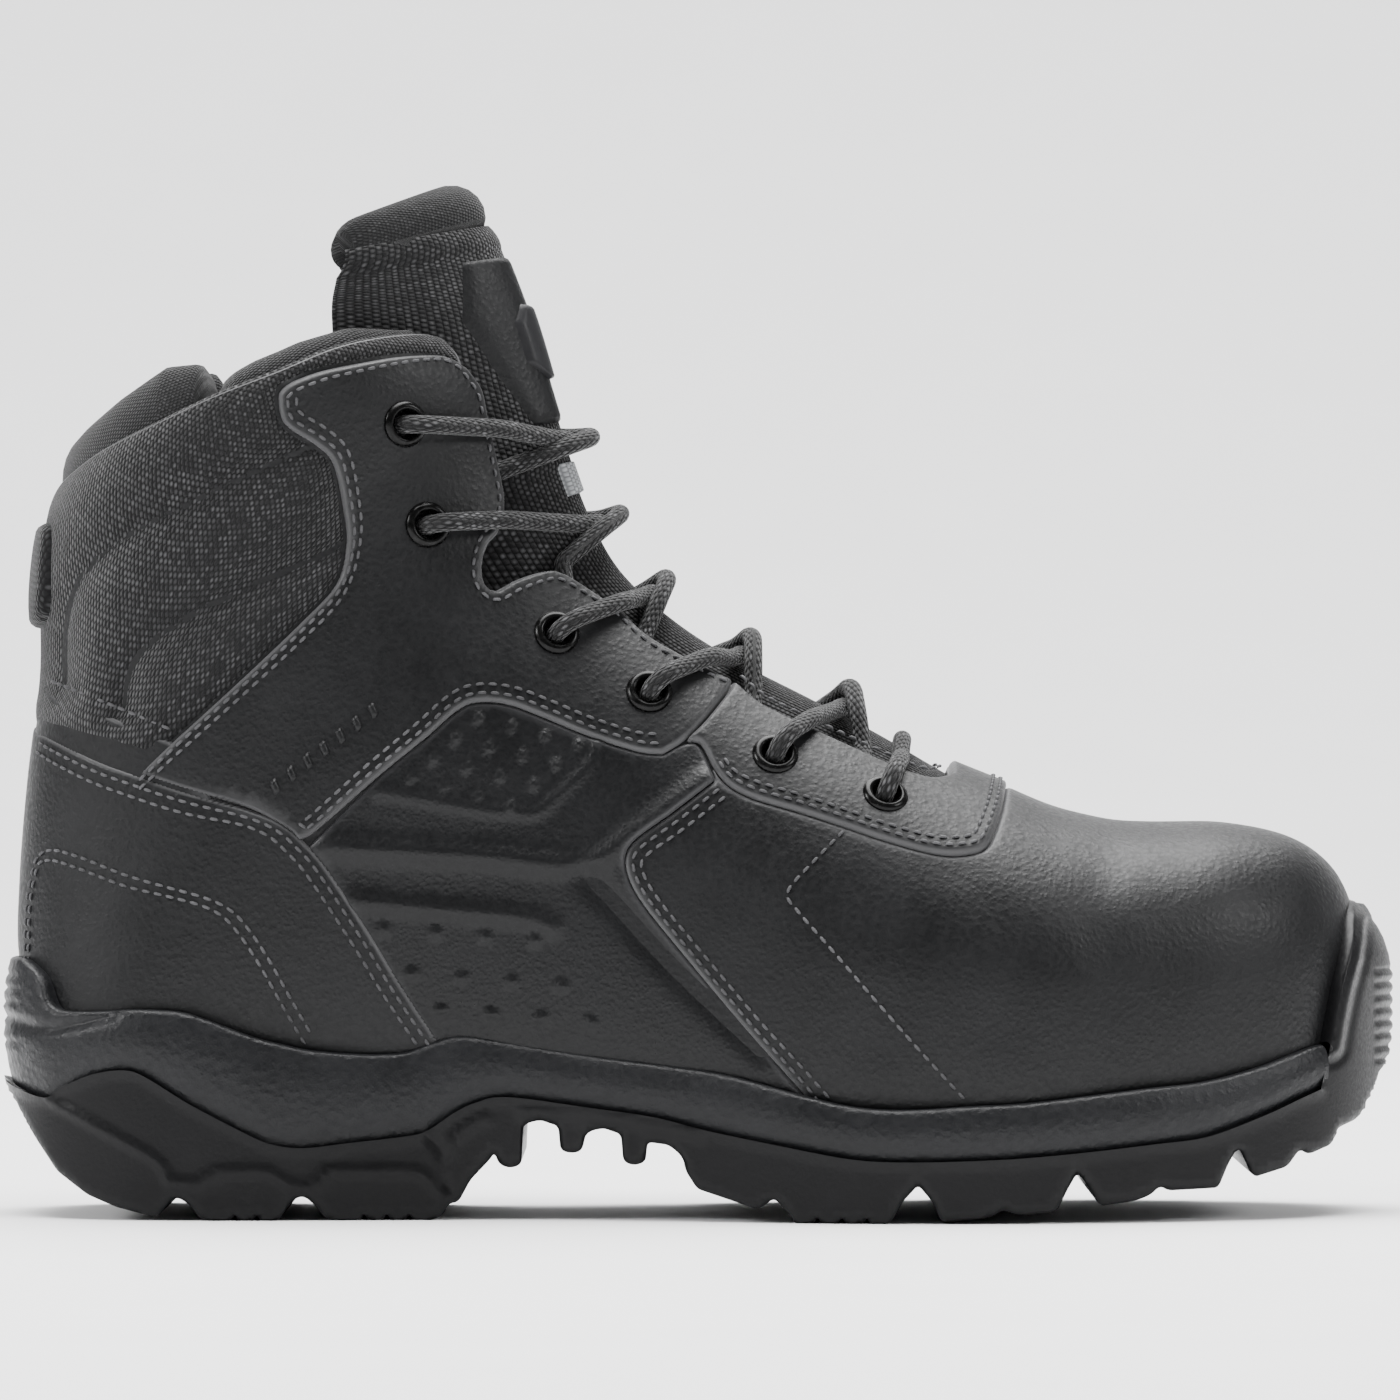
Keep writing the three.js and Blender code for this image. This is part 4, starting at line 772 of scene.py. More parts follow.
def footbed_object():
    """The removable footbed: a cupped sheet with a rounded rim."""
    sections = np.linspace(0.25, 15.9, 120)
    shares = np.linspace(-1, 1, 41)
    points, uv = [], []
    for u in sections:
        row = blended(SECTIONS, u)[0]
        floor = row[1] + FOOTBED_LOW + FOOTBED_THICKNESS
        rise = 1.6 * max(0, (u - 13) / 3) ** 2
        wall = ring_points([u], np.array([FOOTBED_TURN]), FOOTBED_EDGE)[0]
        for share in shares:
            half = max(2.0, wall[1] - row[5]) * 0.985
            cup = 2.6 * abs(share) ** 4 * np.clip((u - 8) / 5, 0.25, 1)
            arch = 2.0 * np.exp(-((u - 12) / 1.6) ** 2) * np.clip(share, 0, 1) ** 2
            x = min(max(row[0], FOOTBED_HEEL), FOOTBED_TOE)
            points.append((x, row[5] + half * share, floor + cup + arch + rise - 0.9 * (abs(share) > 0.99)))
            uv.append((row[0], half * share))
    count = len(points)
    under = [(x, y, z - FOOTBED_THICKNESS * (0.55 if abs(s) > 0.95 else 0.9))
             for (x, y, z), s in zip(points, list(shares) * len(sections))]
    faces = grid_faces(len(sections), len(shares))
    wide = len(shares)
    rim = list(range(wide)) + [(k + 1) * wide - 1 for k in range(1, len(sections))]
    rim += [count - 1 - i for i in range(1, wide)] + [k * wide for k in range(len(sections) - 2, 0, -1)]
    sides = [(a, b, b + count, a + count) for a, b in zip(rim, rim[1:] + rim[:1])]
    bottom = [tuple(k + count for k in f[::-1]) for f in faces]
    return mesh_object("footbed_cloth", points + under, faces + bottom + sides, LINING_CLOTH, uv=uv + uv)


finished(footbed_object(), "footbed", ["footbed"])

# ------------------------------------------------------------------ padded collar edge
ROLL_HALF_WIDTH = [(-160, 6.2), (-88, 6.0), (-66, 3.4), (-40, 3.0)]
ROLL_LIFT = [(-150, 1), (-147, 1), (-138, 5), (-128, 9), (-119, 11), (-112, 8.5), (-109.5, 5), (-108.5, 2.5),
             (-100, 4.2), (-90, 4.6), (-80, 3.5), (-68, 1.2), (-50, 0)]
ROLL_BELOW = 15  # how far it reaches down inside the collar
ROLL_DEPTH = 1.9  # depth of its outer side inside the upper
NOTCH_TURN = 1.36  # turn where the heel's pad meets the collar's roll
RING_POINTS = 22


def along_line(line, x):
    """Height of a line at x."""
    xs, zs = zip(*line)
    return float(np.interp(x, xs, zs))


def roll_ring(turn, size):
    """A ring of the collar's edge at a signed turn round the collar."""
    here = ring_points([COLLAR_CENTRE], [turn], 2.2)[0]
    half_width = along_line(ROLL_HALF_WIDTH, here[0])
    centre, ahead = (ring_points([COLLAR_CENTRE], [at], ROLL_DEPTH + half_width)[0]
                     for at in (turn, turn + SMALL))
    run = ahead - centre
    out = np.array([run[1], -run[0]]) / np.hypot(run[0], run[1])
    edge, lift = along_line(COLLAR_TOP, centre[0]), along_line(ROLL_LIFT, centre[0])
    half = (ROLL_BELOW + lift) / 2
    ring = []
    for angle in np.linspace(0, TAU, RING_POINTS, endpoint=False):
        across, up = math.cos(angle), math.sin(angle)
        sideways = half_width * size * np.sign(across) * abs(across) ** 0.8
        upward = half * size * np.sign(up) * abs(up) ** 0.9
        ring.append((centre[0] + out[0] * sideways, centre[1] + out[1] * sideways,
                     edge + lift - half + upward + half * (1 - size) * 0.6))
    return np.array(ring)


def closed_loft(rings):
    """Points and faces of a tube through rings, closed at its ends."""
    count = len(rings[0])
    points = np.vstack(rings)
    faces = grid_faces(len(rings), count, closed=True)
    first = tuple(range(count))[::-1]
    last = tuple(range(len(points) - count, len(points)))
    return points, faces + [first, last]


def ring_uv(rings):
    """Weave coordinates in mm along and round a tube."""
    along = arc_steps(np.array([ring.mean(axis=0) for ring in rings]))
    return np.array([(distance, girth) for ring, distance in zip(rings, along) for girth in arc_steps(ring)])


def rounded_sizes(count, ends):
    """Ring sizes that round off both ends of a row of rings."""
    i = np.arange(count)
    t = np.clip(np.minimum(i, count - 1 - i) / ends, 0, 1)
    return 0.35 + 0.65 * np.sqrt(1 - (1 - t) ** 2)


def roll_object(name, turns):
    """A padded roll along the collar's edge."""
    rings = [roll_ring(turn, size) for turn, size in zip(turns, rounded_sizes(len(turns), 4))]
    points, faces = closed_loft(rings)
    return mesh_object(name, points, faces, TWILL, uv=ring_uv(rings))


pad = finished(roll_object("achilles_pad_cloth", np.linspace(-NOTCH_TURN, NOTCH_TURN, 91)), "root",
               ["achilles_pad"])
for side, sign in SIDES.items():
    roll = roll_object("collar_roll_cloth_" + side, sign * np.linspace(NOTCH_TURN + 0.02, 2.62, 44))
    finished(roll, "root", ["collar_roll_" + side])

TAB_TOP, TAB_BOTTOM = 21.9, 20.6  # sections
TAB_HALF_TURN = 0.343
TAB_SQUARENESS = 5


def tab_object():
    """The pad's cloth folded down over the back seam."""
    places = []
    for angle in np.linspace(0, TAU, 80, endpoint=False):
        up, across = math.cos(angle), math.sin(angle)
        reach = (abs(up) ** TAB_SQUARENESS + abs(across) ** TAB_SQUARENESS) ** (-1 / TAB_SQUARENESS)
        section = (TAB_TOP + TAB_BOTTOM) / 2 + up * reach * (TAB_TOP - TAB_BOTTOM) / 2
        places.append((along_at(section), TAB_HALF_TURN * (across * reach)))
    return patch("heel_tab_cloth", places, TWILL, 1.5, 3.0, 2.2, 0.5,
                 lambda points, distance: 0.8 * (1 - np.exp(-distance / 3)))


finished(tab_object(), "root", ["heel_tab"])

# ------------------------------------------------------------------ tongue
# [crest x, z, inward direction x, z, half width, depth of the wings, centre y]
TONGUE = np.array([
    [68, 93.2, 0, -1, 18, 9, -0.5],
    [60, 97, 0, -1, 20, 12, -1],
    [52, 101.5, -0.1, -1, 21, 19, -1.5],
    [40, 108.5, -0.2, -0.98, 21.5, 26, -2.2],
    [24, 116.8, -0.3, -0.95, 22, 31, -3.2],
    [8, 125, -0.4, -0.92, 21.5, 33, -3.9],
    [-6, 134, -0.55, -0.84, 20.5, 35, -3.7],
    [-18, 145, -0.75, -0.66, 19.3, 39, -2.9],
    [-25, 157, -0.9, -0.43, 19.3, 43, -1.7],
    [-30, 170, -0.97, -0.24, 20, 46, -0.7],
    [-35, 186, -1, -0.1, 21, 46, -0.1],
    [-40, 203, -1, 0, 21.5, 43, 0],
    [-46, 218.5, -1, -0.2, 21, 36, 0],
])
TONGUE_CURL = 1.7
TONGUE_THICKNESS = 7.0
TONGUE_GROOVE = 0.72  # where the sewn groove runs, as a share of the half width
PUFFED_ABOVE = 170
WEAVE_HALF_WIDTH = 32  # mm of weave from the crest to the wing's edge
EXTRA_ROWS = np.arange(1, 6)  # rows past the last one, which end inside the top roll


def tongue_point(row, depth, across):
    """A point depth mm under the tongue's face; across runs from -1 to 1 over its width."""
    x, z, dx, dz, w, wing, y = row
    into = depth + (wing - depth) * abs(across) ** TONGUE_CURL
    return np.array([x + dx * into, y + (w - depth) * across, z + dz * into])


def tongue_at(z):
    """The tongue's row at a height of its crest."""
    heights = TONGUE[:, 1]
    i = np.interp(z, heights, np.arange(len(heights)))
    return blended(TONGUE, i)[0]


def tongue_front(row, share):
    """How far the tongue's face is puffed out."""
    puff = 0.9 if row[1] > PUFFED_ABOVE else 0.3
    return puff * (1 - abs(share) ** 6) - 0.7 * math.exp(-((abs(share) - TONGUE_GROOVE) / 0.05) ** 2)


def tongue_object():
    """The padded tongue, curled round the instep."""
    rows = blended(TONGUE, np.linspace(0, len(TONGUE) - 1, 110))
    top = np.repeat(rows[-1:], len(EXTRA_ROWS), axis=0)
    top[:, 1] += EXTRA_ROWS * 1.1
    top[:, 0] -= EXTRA_ROWS ** 2 * 0.12
    top[:, 5] -= EXTRA_ROWS
    rows = np.vstack([rows, top])
    shares = np.linspace(-1, 1, 37)
    rings, uv = [], []
    length = arc_steps(rows[:, :2])
    for row, distance in zip(rows, length):
        front = [tongue_point(row, -tongue_front(row, s), s) for s in shares]
        back = [tongue_point(row, TONGUE_THICKNESS - 1.5 * abs(s) ** 4, s) for s in shares[::-1]]
        rings.append(np.array(front + back))
        uv += [(distance, WEAVE_HALF_WIDTH * s) for s in (*shares, *shares[::-1])]
    points, faces = closed_loft(rings)
    return mesh_object("tongue_cloth", points, faces, CORDURA, uv=uv)


tongue = finished(tongue_object(), "tongue", ["tongue_face", "tongue_padding", "tongue_lining"])


def on_tongue(name, spans, lift, thickness, material):
    """A flat piece sewn on the tongue's front. spans are (height, share of the half width)."""
    heights, reaches = zip(*spans)
    rows = np.linspace(heights[0], heights[-1], 34)
    shares = np.linspace(-1, 1, 21)
    points, uv = [], []
    for i, z in enumerate(rows):
        row = tongue_at(z)
        reach = float(np.interp(z, heights, reaches))
        for j, s in enumerate(shares):
            rim = min(i, len(rows) - 1 - i, j, len(shares) - 1 - j)
            height = lift + thickness * (0.0, 0.8, 1.0)[min(rim, 2)]
            points.append(tongue_point(row, -height, s * reach))
            uv.append((z, s * reach * 21))
    return mesh_object(name, points, grid_faces(len(rows), len(shares)), material, uv=uv)


patch_spans = [(179, 0.29), (190, 0.43), (202, 0.56), (216.5, 0.46)]
finished(on_tongue("tongue_patch_leather", patch_spans, 0.3, 1.5, LEATHER), "tongue", ["tongue_patch"])
badge_spans = [(189, 0.05), (193, 0.24), (202, 0.25), (206, 0.14)]
finished(on_tongue("tongue_badge_plain", badge_spans, 1.6, 1.5, PLASTIC), "tongue", ["tongue_badge"])
keeper_spans = [(163.5, 0.2), (170.5, 0.2)]
finished(on_tongue("lace_keeper_webbing", keeper_spans, 0.4, 1.1, WEBBING), "tongue", ["lace_keeper"])


def top_roll_rings():
    """Rings of the roll over the tongue's top, from its outer to its inner side."""
    rings = []
    for across in np.linspace(-1, 1, 45):
        fall = abs(across) ** TONGUE_CURL
        end = math.sqrt(max(0.05, 1 - max(0, abs(across) - 0.9) ** 2 * 60))
        x, y, z = -56.5 - 24 * fall, 20 * across, 226.0 - 8.3 * fall
        rx, rz = (7.8 - 3.4 * fall) * end, (7.4 - 1.1 * fall) * end
        rings.append(np.array([(x + rx * math.cos(a), y, z + rz * math.sin(a))
                               for a in np.linspace(0, TAU, 18, endpoint=False)]))
    return rings


rings = top_roll_rings()
points, faces = closed_loft(rings)
top_roll = mesh_object("tongue_top_roll_cloth", points, faces, TWILL, uv=ring_uv(rings))
finished(top_roll, "tongue", ["tongue_top_roll"])


def gusset_object(side, sign):
    """The thin fold between the tongue's wing and the quarter."""
    rows = blended(TONGUE, np.linspace(3, 7, 50))
    steps = np.linspace(0, 1, 15)
    points, uv = [], []
    for i, row in enumerate(rows):
        inner = tongue_point(row, 0.3, sign * 0.93)
        place = chart([(inner[0], inner[2])])[0]
        outer = on_upper(place[0], sign * place[1], 0, 6.4)[0][0]
        for k, t in enumerate(steps):
            sag = np.array([row[2], 0, row[3]]) * 3.0 * math.sin(math.pi * t)
            points.append(inner * (1 - t) + outer * t + sag)
            uv.append((i * 1.9, k * 1.2))
    faces = grid_faces(len(rows), len(steps))
    return thickened(mesh_object("tongue_gusset_cloth_" + side, points, faces, TWILL, uv=uv), 0.8, 0)


for side, sign in SIDES.items():
    gusset = gusset_object(side, sign)
    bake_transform(gusset)
    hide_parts("tongue_gusset_" + side)

# ------------------------------------------------------------------ sole
SOLE_PLAN = [(-157.5, 0), (-155, -16), (-146, -29.5), (-131, -38), (-115, -41.3), (-95, -41.5),
             (-70, -39), (-40, -38.5), (-10, -44), (20, -52.5), (45, -56.5), (70, -55.9), (95, -51),
             (115, -43.5), (131, -34.5), (143, -23), (152, -8), (157.5, 9), (154.5, 23), (146, 35.5),
             (131, 45.8), (115, 51.8), (95, 55.6), (70, 56.6), (45, 53.2), (20, 45), (-10, 36), (-40, 31),
             (-70, 33.5), (-95, 38.3), (-115, 40.8), (-131, 38), (-146, 29.5), (-155, 16), (-157.5, 0)]
PARTING = [(-157.4, 31), (-154.6, 29.3), (-146.7, 27), (-143, 29.3), (-136, 32.4), (-128.7, 33.5),
           (-123.8, 32), (-114.5, 26.3), (-103.7, 20.6), (-96.5, 17.3), (-89, 16.2), (-78.5, 17.3),
           (-67.7, 18.5), (-61.4, 19.8), (-55, 24), (-50, 26.3), (-43, 27.5), (-24.5, 25.2), (-10, 23.2),
           (2, 20.3), (18.7, 17), (33, 14.4), (45, 13.7), (65.5, 14.2), (83, 15.5), (100, 17.3), (113, 18.9),
           (126, 23.4), (134, 26.8), (139, 28.8)]
BUMPER_EDGE = [(141.6, 38.7), (143, 45.7), (144.7, 52.7), (147.4, 60.3), (150.4, 66), (153.5, 69),
               (156, 70)]
BUMPER_START = 139  # x where the outsole's wall rises into the bumper over the toe
TREAD = [(157.5, 40), (156.6, 35), (154, 30.8), (152.3, 27), (150.5, 23.5), (149, 21.6), (144, 19.8),
         (143, 16.4), (137, 14.2), (135, 15.5), (132, 11.7), (124, 9.5), (122.4, 13), (120.6, 16.5),
         (118.4, 13), (116, 7.4), (104.5, 7), (102.6, 8.1), (100.5, 6), (96.5, 4.7), (89, 3.8),
         (86.5, 8), (84.2, 11.5), (82, 8), (79.4, 2.7), (70.7, 1.8), (67.3, 3.2), (65, 1.6), (62, 1.1),
         (53.6, 0.4), (51.5, 5), (48.4, 8.6), (45, 5), (42.3, 0), (20.7, 0), (20.5, 1.1), (16.4, 5.5),
         (12.8, 2.9), (-0.8, 7.3), (-3.4, 11.3), (-4, 14.4), (-7, 17), (-11.8, 17.6), (-12.3, 13.2),
         (-14.8, 12.3), (-17.3, 13.2), (-17.8, 19.3), (-22, 20.7), (-25.8, 19.5), (-26.3, 15.6),
         (-28.8, 14.9), (-31.3, 15.6), (-31.8, 21), (-36, 22.4), (-39.6, 21.3), (-40, 12.4),
         (-42.5, 11.5), (-45, 12.4), (-46, 15), (-47, 13.5), (-51.3, 9), (-54, 4), (-56.3, 3.6),
         (-57.5, 1), (-60, 0), (-82, 0), (-84, 0.6), (-86, 3.5), (-89, 5.8), (-92, 3.5), (-93.5, 0.5),
         (-95, 0), (-110, 0), (-112, 0.5), (-114, 3.5), (-117.3, 5.5), (-119.5, 3), (-121.5, 0.6),
         (-131, 2.9), (-137.5, 5.5), (-144.7, 10.6), (-150, 17.8), (-153.5, 23.5), (-157.4, 29.6)]
SIPES = [-65, -70, -75, -99, -104, 37, 31.5, 26]  # small cuts across the flat lugs
RAISED = [  # ridges on the side of the lugs
    [(-145.4, 26.3), (-136, 21.4), (-123.8, 14.9), (-120, 11.9), (-118.4, 7.7)],
    [(-118, 8.8), (-112.5, 8.2), (-109, 10), (-106, 10.9), (-97, 10.9), (-94, 9.4), (-91, 7.6),
     (-86.5, 7.6), (-84, 9.6), (-81.5, 10.8), (-65, 10.8), (-61, 9.4), (-58, 5.5)],
    [(-56, 9), (-56, 16), (-53.6, 19.8), (-47.7, 23.2)],
    [(-40, 24.4), (-20, 22.9), (0, 19.2)],
]
SUNK = [[(-61.4, 19.6), (-57.8, 14.9), (-56.9, 7)], [(48.4, 8.6), (48.4, 11.6)], [(84.2, 11), (84.2, 14)]]

plan = resampled(spline(SOLE_PLAN, 1.0), 0.75)
plan_steps = arc_steps(plan)
PLAN_LENGTH = plan_steps[-1]
tip = int(plan[:, 0].argmax())
plan_run = np.gradient(plan, axis=0)
plan_out = np.stack([plan_run[:, 1], -plan_run[:, 0]], axis=1)
plan_out /= np.linalg.norm(plan_out, axis=1)[:, None]
if plan_out[len(plan) // 5, 1] > 0:
    plan_out = -plan_out


def plan_place(x, sign):
    """How far round the sole's outline x is, on one side."""
    half = slice(0, tip + 1) if sign < 0 else slice(tip, None)
    xs, steps = plan[half, 0], plan_steps[half]
    order = np.argsort(xs)
    return np.interp(x, xs[order], steps[order])


def sole_points(t, z, out):
    """Points on the sole's wall: round its outline, at a height, and out from it."""
    x, y, ox, oy = (np.interp(t, plan_steps, column) for column in (*plan.T, *plan_out.T))
    return np.stack([x + ox * out, y + oy * out, z], axis=1)


def plan_x(t):
    return np.interp(t, plan_steps, plan[:, 0])


def toe_share(t, start=BUMPER_START, full=150.0):
    """0 behind the toe's bumper, and 1 where it is full."""
    return np.clip((plan_x(t) - start) / (full - start), 0, 1)


def side_places(t, z):
    """Side view points of places on the sole's wall."""
    return np.stack([plan_x(t), z], axis=1)


def line_gap(places, line):
    """Distance in the side view from places to a smooth line."""
    return nearest(places, spline(line, 0.6))


def ridges(places, lines, height, width):
    """Height of rounded ridges along lines."""
    return sum(height * np.exp(-(line_gap(places, line) / width) ** 2) for line in lines)


def chamfered(points, limit=2.2, rounds=2):
    """A line with its corners cut, so that each becomes a small curve."""
    points = np.array(points, float)
    fine = []
    for a, b in zip(points[:-1], points[1:]):
        count = max(1, int(np.linalg.norm(b - a) / limit))
        fine += [a + (b - a) * k / count for k in range(count)]
    line = np.array(fine + [points[-1]])
    for _ in range(rounds):
        cut = [line[0]]
        for a, b in zip(line[:-1], line[1:]):
            cut += [0.75 * a + 0.25 * b, 0.25 * a + 0.75 * b]
        line = np.array(cut + [line[-1]])
    return line


def with_sipes(profile):
    """The tread's outline with small cuts in its flat stretches."""
    points = []
    for a, b in zip(profile[:-1], profile[1:]):
        points.append(a)
        for x in sorted(SIPES, reverse=True):
            if b[0] < x < a[0] and max(a[1], b[1]) < 0.3:
                points += [(x + 0.6, 0), (x, 1.3), (x - 0.6, 0)]
    return points + [profile[-1]]


profile = chamfered(with_sipes(TREAD))
BUMPER_LEAN = ([54, 58, 62, 67, 70], [0, 0.4, 1.7, 4.3, 7.0])  # heights, and how far it leans in there
BUMPER_RIB_PITCH, HEEL_RIB_PITCH = 2.9, 3.0


def fade_in(value, start, width):
    """0 up to start, and 1 from width further on."""
    return np.clip((value - start) / width, 0, 1)


def outsole_out(t, z):
    """How far the outsole's wall stands out from the sole's outline."""
    places = side_places(t, z)
    out = 0.3 + ridges(places, RAISED, 0.75, 0.8) - ridges(places, SUNK, 0.9, 0.9)
    out = out + 0.5 * np.exp(-(line_gap(places, PARTING) / 1.0) ** 2)
    lean = toe_share(t) * np.interp(z, *BUMPER_LEAN)
    ribbed = fade_in(plan_x(t), 152.5, 1.5) * fade_in(z, 31, 3) * fade_in(-z, -57, 3)
    rib = np.abs(np.sin(math.pi * z / BUMPER_RIB_PITCH)) ** 0.8 - 0.5
    edge_gap = line_gap(places, BUMPER_EDGE)
    rim = 0.6 * np.exp(-((edge_gap - 1.6) / 1.1) ** 2) - 0.35 * np.exp(-((edge_gap - 4.2) / 0.9) ** 2)
    return (out - lean * (0.6 + 0.4 * toe_share(t, 148, 156)) + ribbed * rib * 0.9
            + rim * fade_in(plan_x(t), 138, 3))


TREAD_EDGE = 0.9  # radius of the outsole's edge round the tread
GROOVE_ROOF = 8  # height of the groove down the middle of the tread
GROOVES = ((-140, -64), (6, 112))  # x from and to
LIP_PROFILE = ((0, 0), (0.5, 0.45), (1.3, 0.7), (2.6, 0.6), (4.5, -0.2), (7.5, -2.0))  # inset, rise


def wall_places(line, sign):
    """Side view points as places on the sole's wall, on one side."""
    return np.stack([plan_place(line[:, 0], sign), line[:, 1]], axis=1)


def wall_grid():
    """Places spread over the sole's wall, closer together on the toe's bumper."""
    start, end, low = plan_place(BUMPER_START, -1), plan_place(BUMPER_START, 1), 28
    t, z = np.meshgrid(np.arange(0, PLAN_LENGTH, 1.5), np.arange(0.5, 70, 1.3))
    fine_t, fine_z = np.meshgrid(np.arange(start, end, 0.9), np.arange(low, 70, 0.55))
    toe = (t > start) & (t < end) & (z > low)
    coarse = np.stack([t[~toe], z[~toe]], axis=1)
    return np.vstack([coarse, np.stack([fine_t.ravel(), fine_z.ravel()], axis=1)])


def lip_strip(places, out_of):
    """The rounded top of a wall, turned in over the upper."""
    t, z = places.T
    out = out_of(t, z)
    rows = [sole_points(t, z + rise, out - inset) for inset, rise in LIP_PROFILE]
    return np.vstack(rows), grid_faces(len(rows), len(t))


def tread_floor(outer, inner):
    """The underside between its two edges, with a groove down its middle."""
    shares = np.concatenate([np.linspace(0, 0.44, 8), [0.46, 0.54], np.linspace(0.56, 1, 8)])
    x = (outer[:, 0] + inner[:, 0]) / 2
    in_groove = np.any([(x > start) & (x < end) for start, end in GROOVES], axis=0)
    floor = [outer * (1 - s) + inner * s for s in shares]
    for i in (8, 9):
        floor[i][:, 2] = np.where(in_groove, np.maximum(floor[i][:, 2], GROOVE_ROOF), floor[i][:, 2])
    for i, beside in ((7, 6), (10, 11)):
        floor[i] = floor[beside] * 0.05 + floor[i] * 0.95
    return np.vstack(floor), grid_faces(len(shares), len(outer))


def welded_object(name, parts, material, edge_from=None):
    """One mesh of (points, faces) lists that meet at their edges. Points from edge_from on take the
    material's lighter edge colour.
    """
    points, faces = joined(parts)
    edge = None if edge_from is None else (np.arange(len(points)) >= edge_from).astype(float)
    piece = mesh_object(name, points, faces, material, edge=edge)
    piece.modifiers.new("weld", "WELD").merge_threshold = 0.03 * MM
    return piece


def outsole_object():
    """The outsole: its wall round the boot, its underside, and the lip of the toe's bumper."""
    parting, bumper = spline(PARTING, 1.2), spline(BUMPER_EDGE, 1.0)
    top = [wall_places(line, -1) for line in (parting, bumper)]
    back = [wall_places(line, 1)[::-1] for line in (bumper, parting)]
    top[0][0, 0], back[-1][-1, 0] = 0, PLAN_LENGTH
    low = {sign: wall_places(profile, sign) for sign in (-1, 1)}
    low[-1][-1, 0], low[1][-1, 0] = 0, PLAN_LENGTH
    loop = np.vstack([*top, *back, low[1][::-1], low[-1][1:]])
    loop = loop[np.linalg.norm(loop - np.roll(loop, 1, axis=0), axis=1) > 1e-4]
    grid = wall_grid()
    grid = grid[inside_polygon(grid, loop)]
    grid = grid[nearest(grid, loop) > 0.5]
    flat, faces = filled(loop, grid, 1e-5)
    tread_gap = nearest(flat, np.vstack([low[-1], low[1]]))
    rounded = TREAD_EDGE * (1 - np.clip(tread_gap / TREAD_EDGE, 0, 1)) ** 2
    wall = (sole_points(*flat.T, outsole_out(*flat.T) - rounded), faces)
    outer, inner = (sole_points(*low[sign].T, outsole_out(*low[sign].T) - TREAD_EDGE) for sign in (-1, 1))
    lip = lip_strip(np.vstack([top[1], back[0]]), outsole_out)
    return welded_object("outsole_rubber", [wall, tread_floor(outer, inner), lip], RUBBER)


finished(outsole_object(), "root", ["outsole"])

MIDSOLE_CREASES = [[(-156.5, 44.3), (-148, 42.5), (-141, 43.5), (-132, 45.7)]]
MIDSOLE_FRONT = 141.4


def midsole_out(t, z):
    """How far the midsole's wall stands out from the sole's outline."""
    places = side_places(t, z)
    top = np.interp(places[:, 0], *zip(*MIDSOLE_TOP))
    low = np.interp(places[:, 0], *zip(*PARTING))
    share = np.clip((z - low) / np.maximum(top - low, 1), 0, 1)
    ribbed = fade_in(-places[:, 0], 152.5, 1.5) * fade_in(z, 36, 2) * fade_in(-z, -56, 2)
    out = -0.9 + 1.6 * np.sin(math.pi * share) ** 0.7
    out = out - ridges(places, MIDSOLE_CREASES, 1.3, 1.2)
    return out + ribbed * (np.abs(np.sin(math.pi * z / HEEL_RIB_PITCH)) - 0.5) * 0.8


def midsole_object():
    """The midsole's wall round the heel and both sides, up to the toe's bumper, and its lip."""
    start, end = plan_place(MIDSOLE_FRONT, 1), plan_place(MIDSOLE_FRONT, -1)
    t = np.concatenate([np.arange(start, PLAN_LENGTH, 1.2), np.arange(0, end, 1.2)])
    x = plan_x(t)
    top_line = spline(MIDSOLE_TOP, 1.0)
    low_line = spline(PARTING, 1.0)
    top = np.interp(x, top_line[:, 0], top_line[:, 1]) - 0.6
    low = np.interp(x, low_line[:, 0], low_line[:, 1]) - 0.4
    heights = [low + (top - low) * share for share in np.linspace(0, 1, 26)]
    rows = [sole_points(t, z, midsole_out(t, z)) for z in heights]
    wall = (np.vstack(rows), grid_faces(len(rows), len(t)))
    lip = lip_strip(np.stack([t, top], axis=1), midsole_out)
    # the lip's inner rows, from this index on, are painted lighter as a highlight along the midsole's top
    lip_inside = len(wall[0]) + 4 * len(t)
    return welded_object("midsole_foam", [wall, lip], MIDSOLE_FOAM, lip_inside)


finished(midsole_object(), "root", ["midsole"])

# ------------------------------------------------------------------ stitching
STITCH_PITCH = 2.9
STITCH_LENGTH = 2.1
STITCH_RADIUS = 0.36


def stitch_template():
    """A stitch along +X: a thread that dips in at both ends."""
    rings = []
    for t in np.linspace(-1, 1, 6):
        radius = STITCH_RADIUS * math.sqrt(max(0.08, 1 - abs(t) ** 4))
        rise = STITCH_RADIUS * (0.75 - 1.3 * t ** 4)
        rings.append(np.array([(t * STITCH_LENGTH / 2, radius * math.cos(a), rise + radius * math.sin(a))
                               for a in np.linspace(0, TAU, 6, endpoint=False)]))
    return closed_loft(rings)


def stitched_row(places, lift):
    """Stitches along a line of places on the upper."""
    places = resampled(places * [1, TURN_MM], 1.0) / [1, TURN_MM]
    points, normals = on_upper(places[:, 0], places[:, 1], lift)
    steps = arc_steps(points)
    count = int(steps[-1] / STITCH_PITCH)
    template, template_faces = stitch_template()

    def sample(group, at):
        return np.array([np.interp(at, steps, group[:, i]) for i in range(3)])

    made = []
    for k in range(count):
        at = (k + 0.5) * STITCH_PITCH
        centre, normal = sample(points, at), sample(normals, at)
        run = sample(points, at + 0.8) - sample(points, at - 0.8)
        if np.linalg.norm(run) < 1e-6:
            continue
        run /= np.linalg.norm(run)
        normal -= run * normal.dot(run)
        normal /= np.linalg.norm(normal)
        side = np.cross(normal, run)
        made.append((centre + template @ np.array([run, side, normal]), template_faces))
    return made


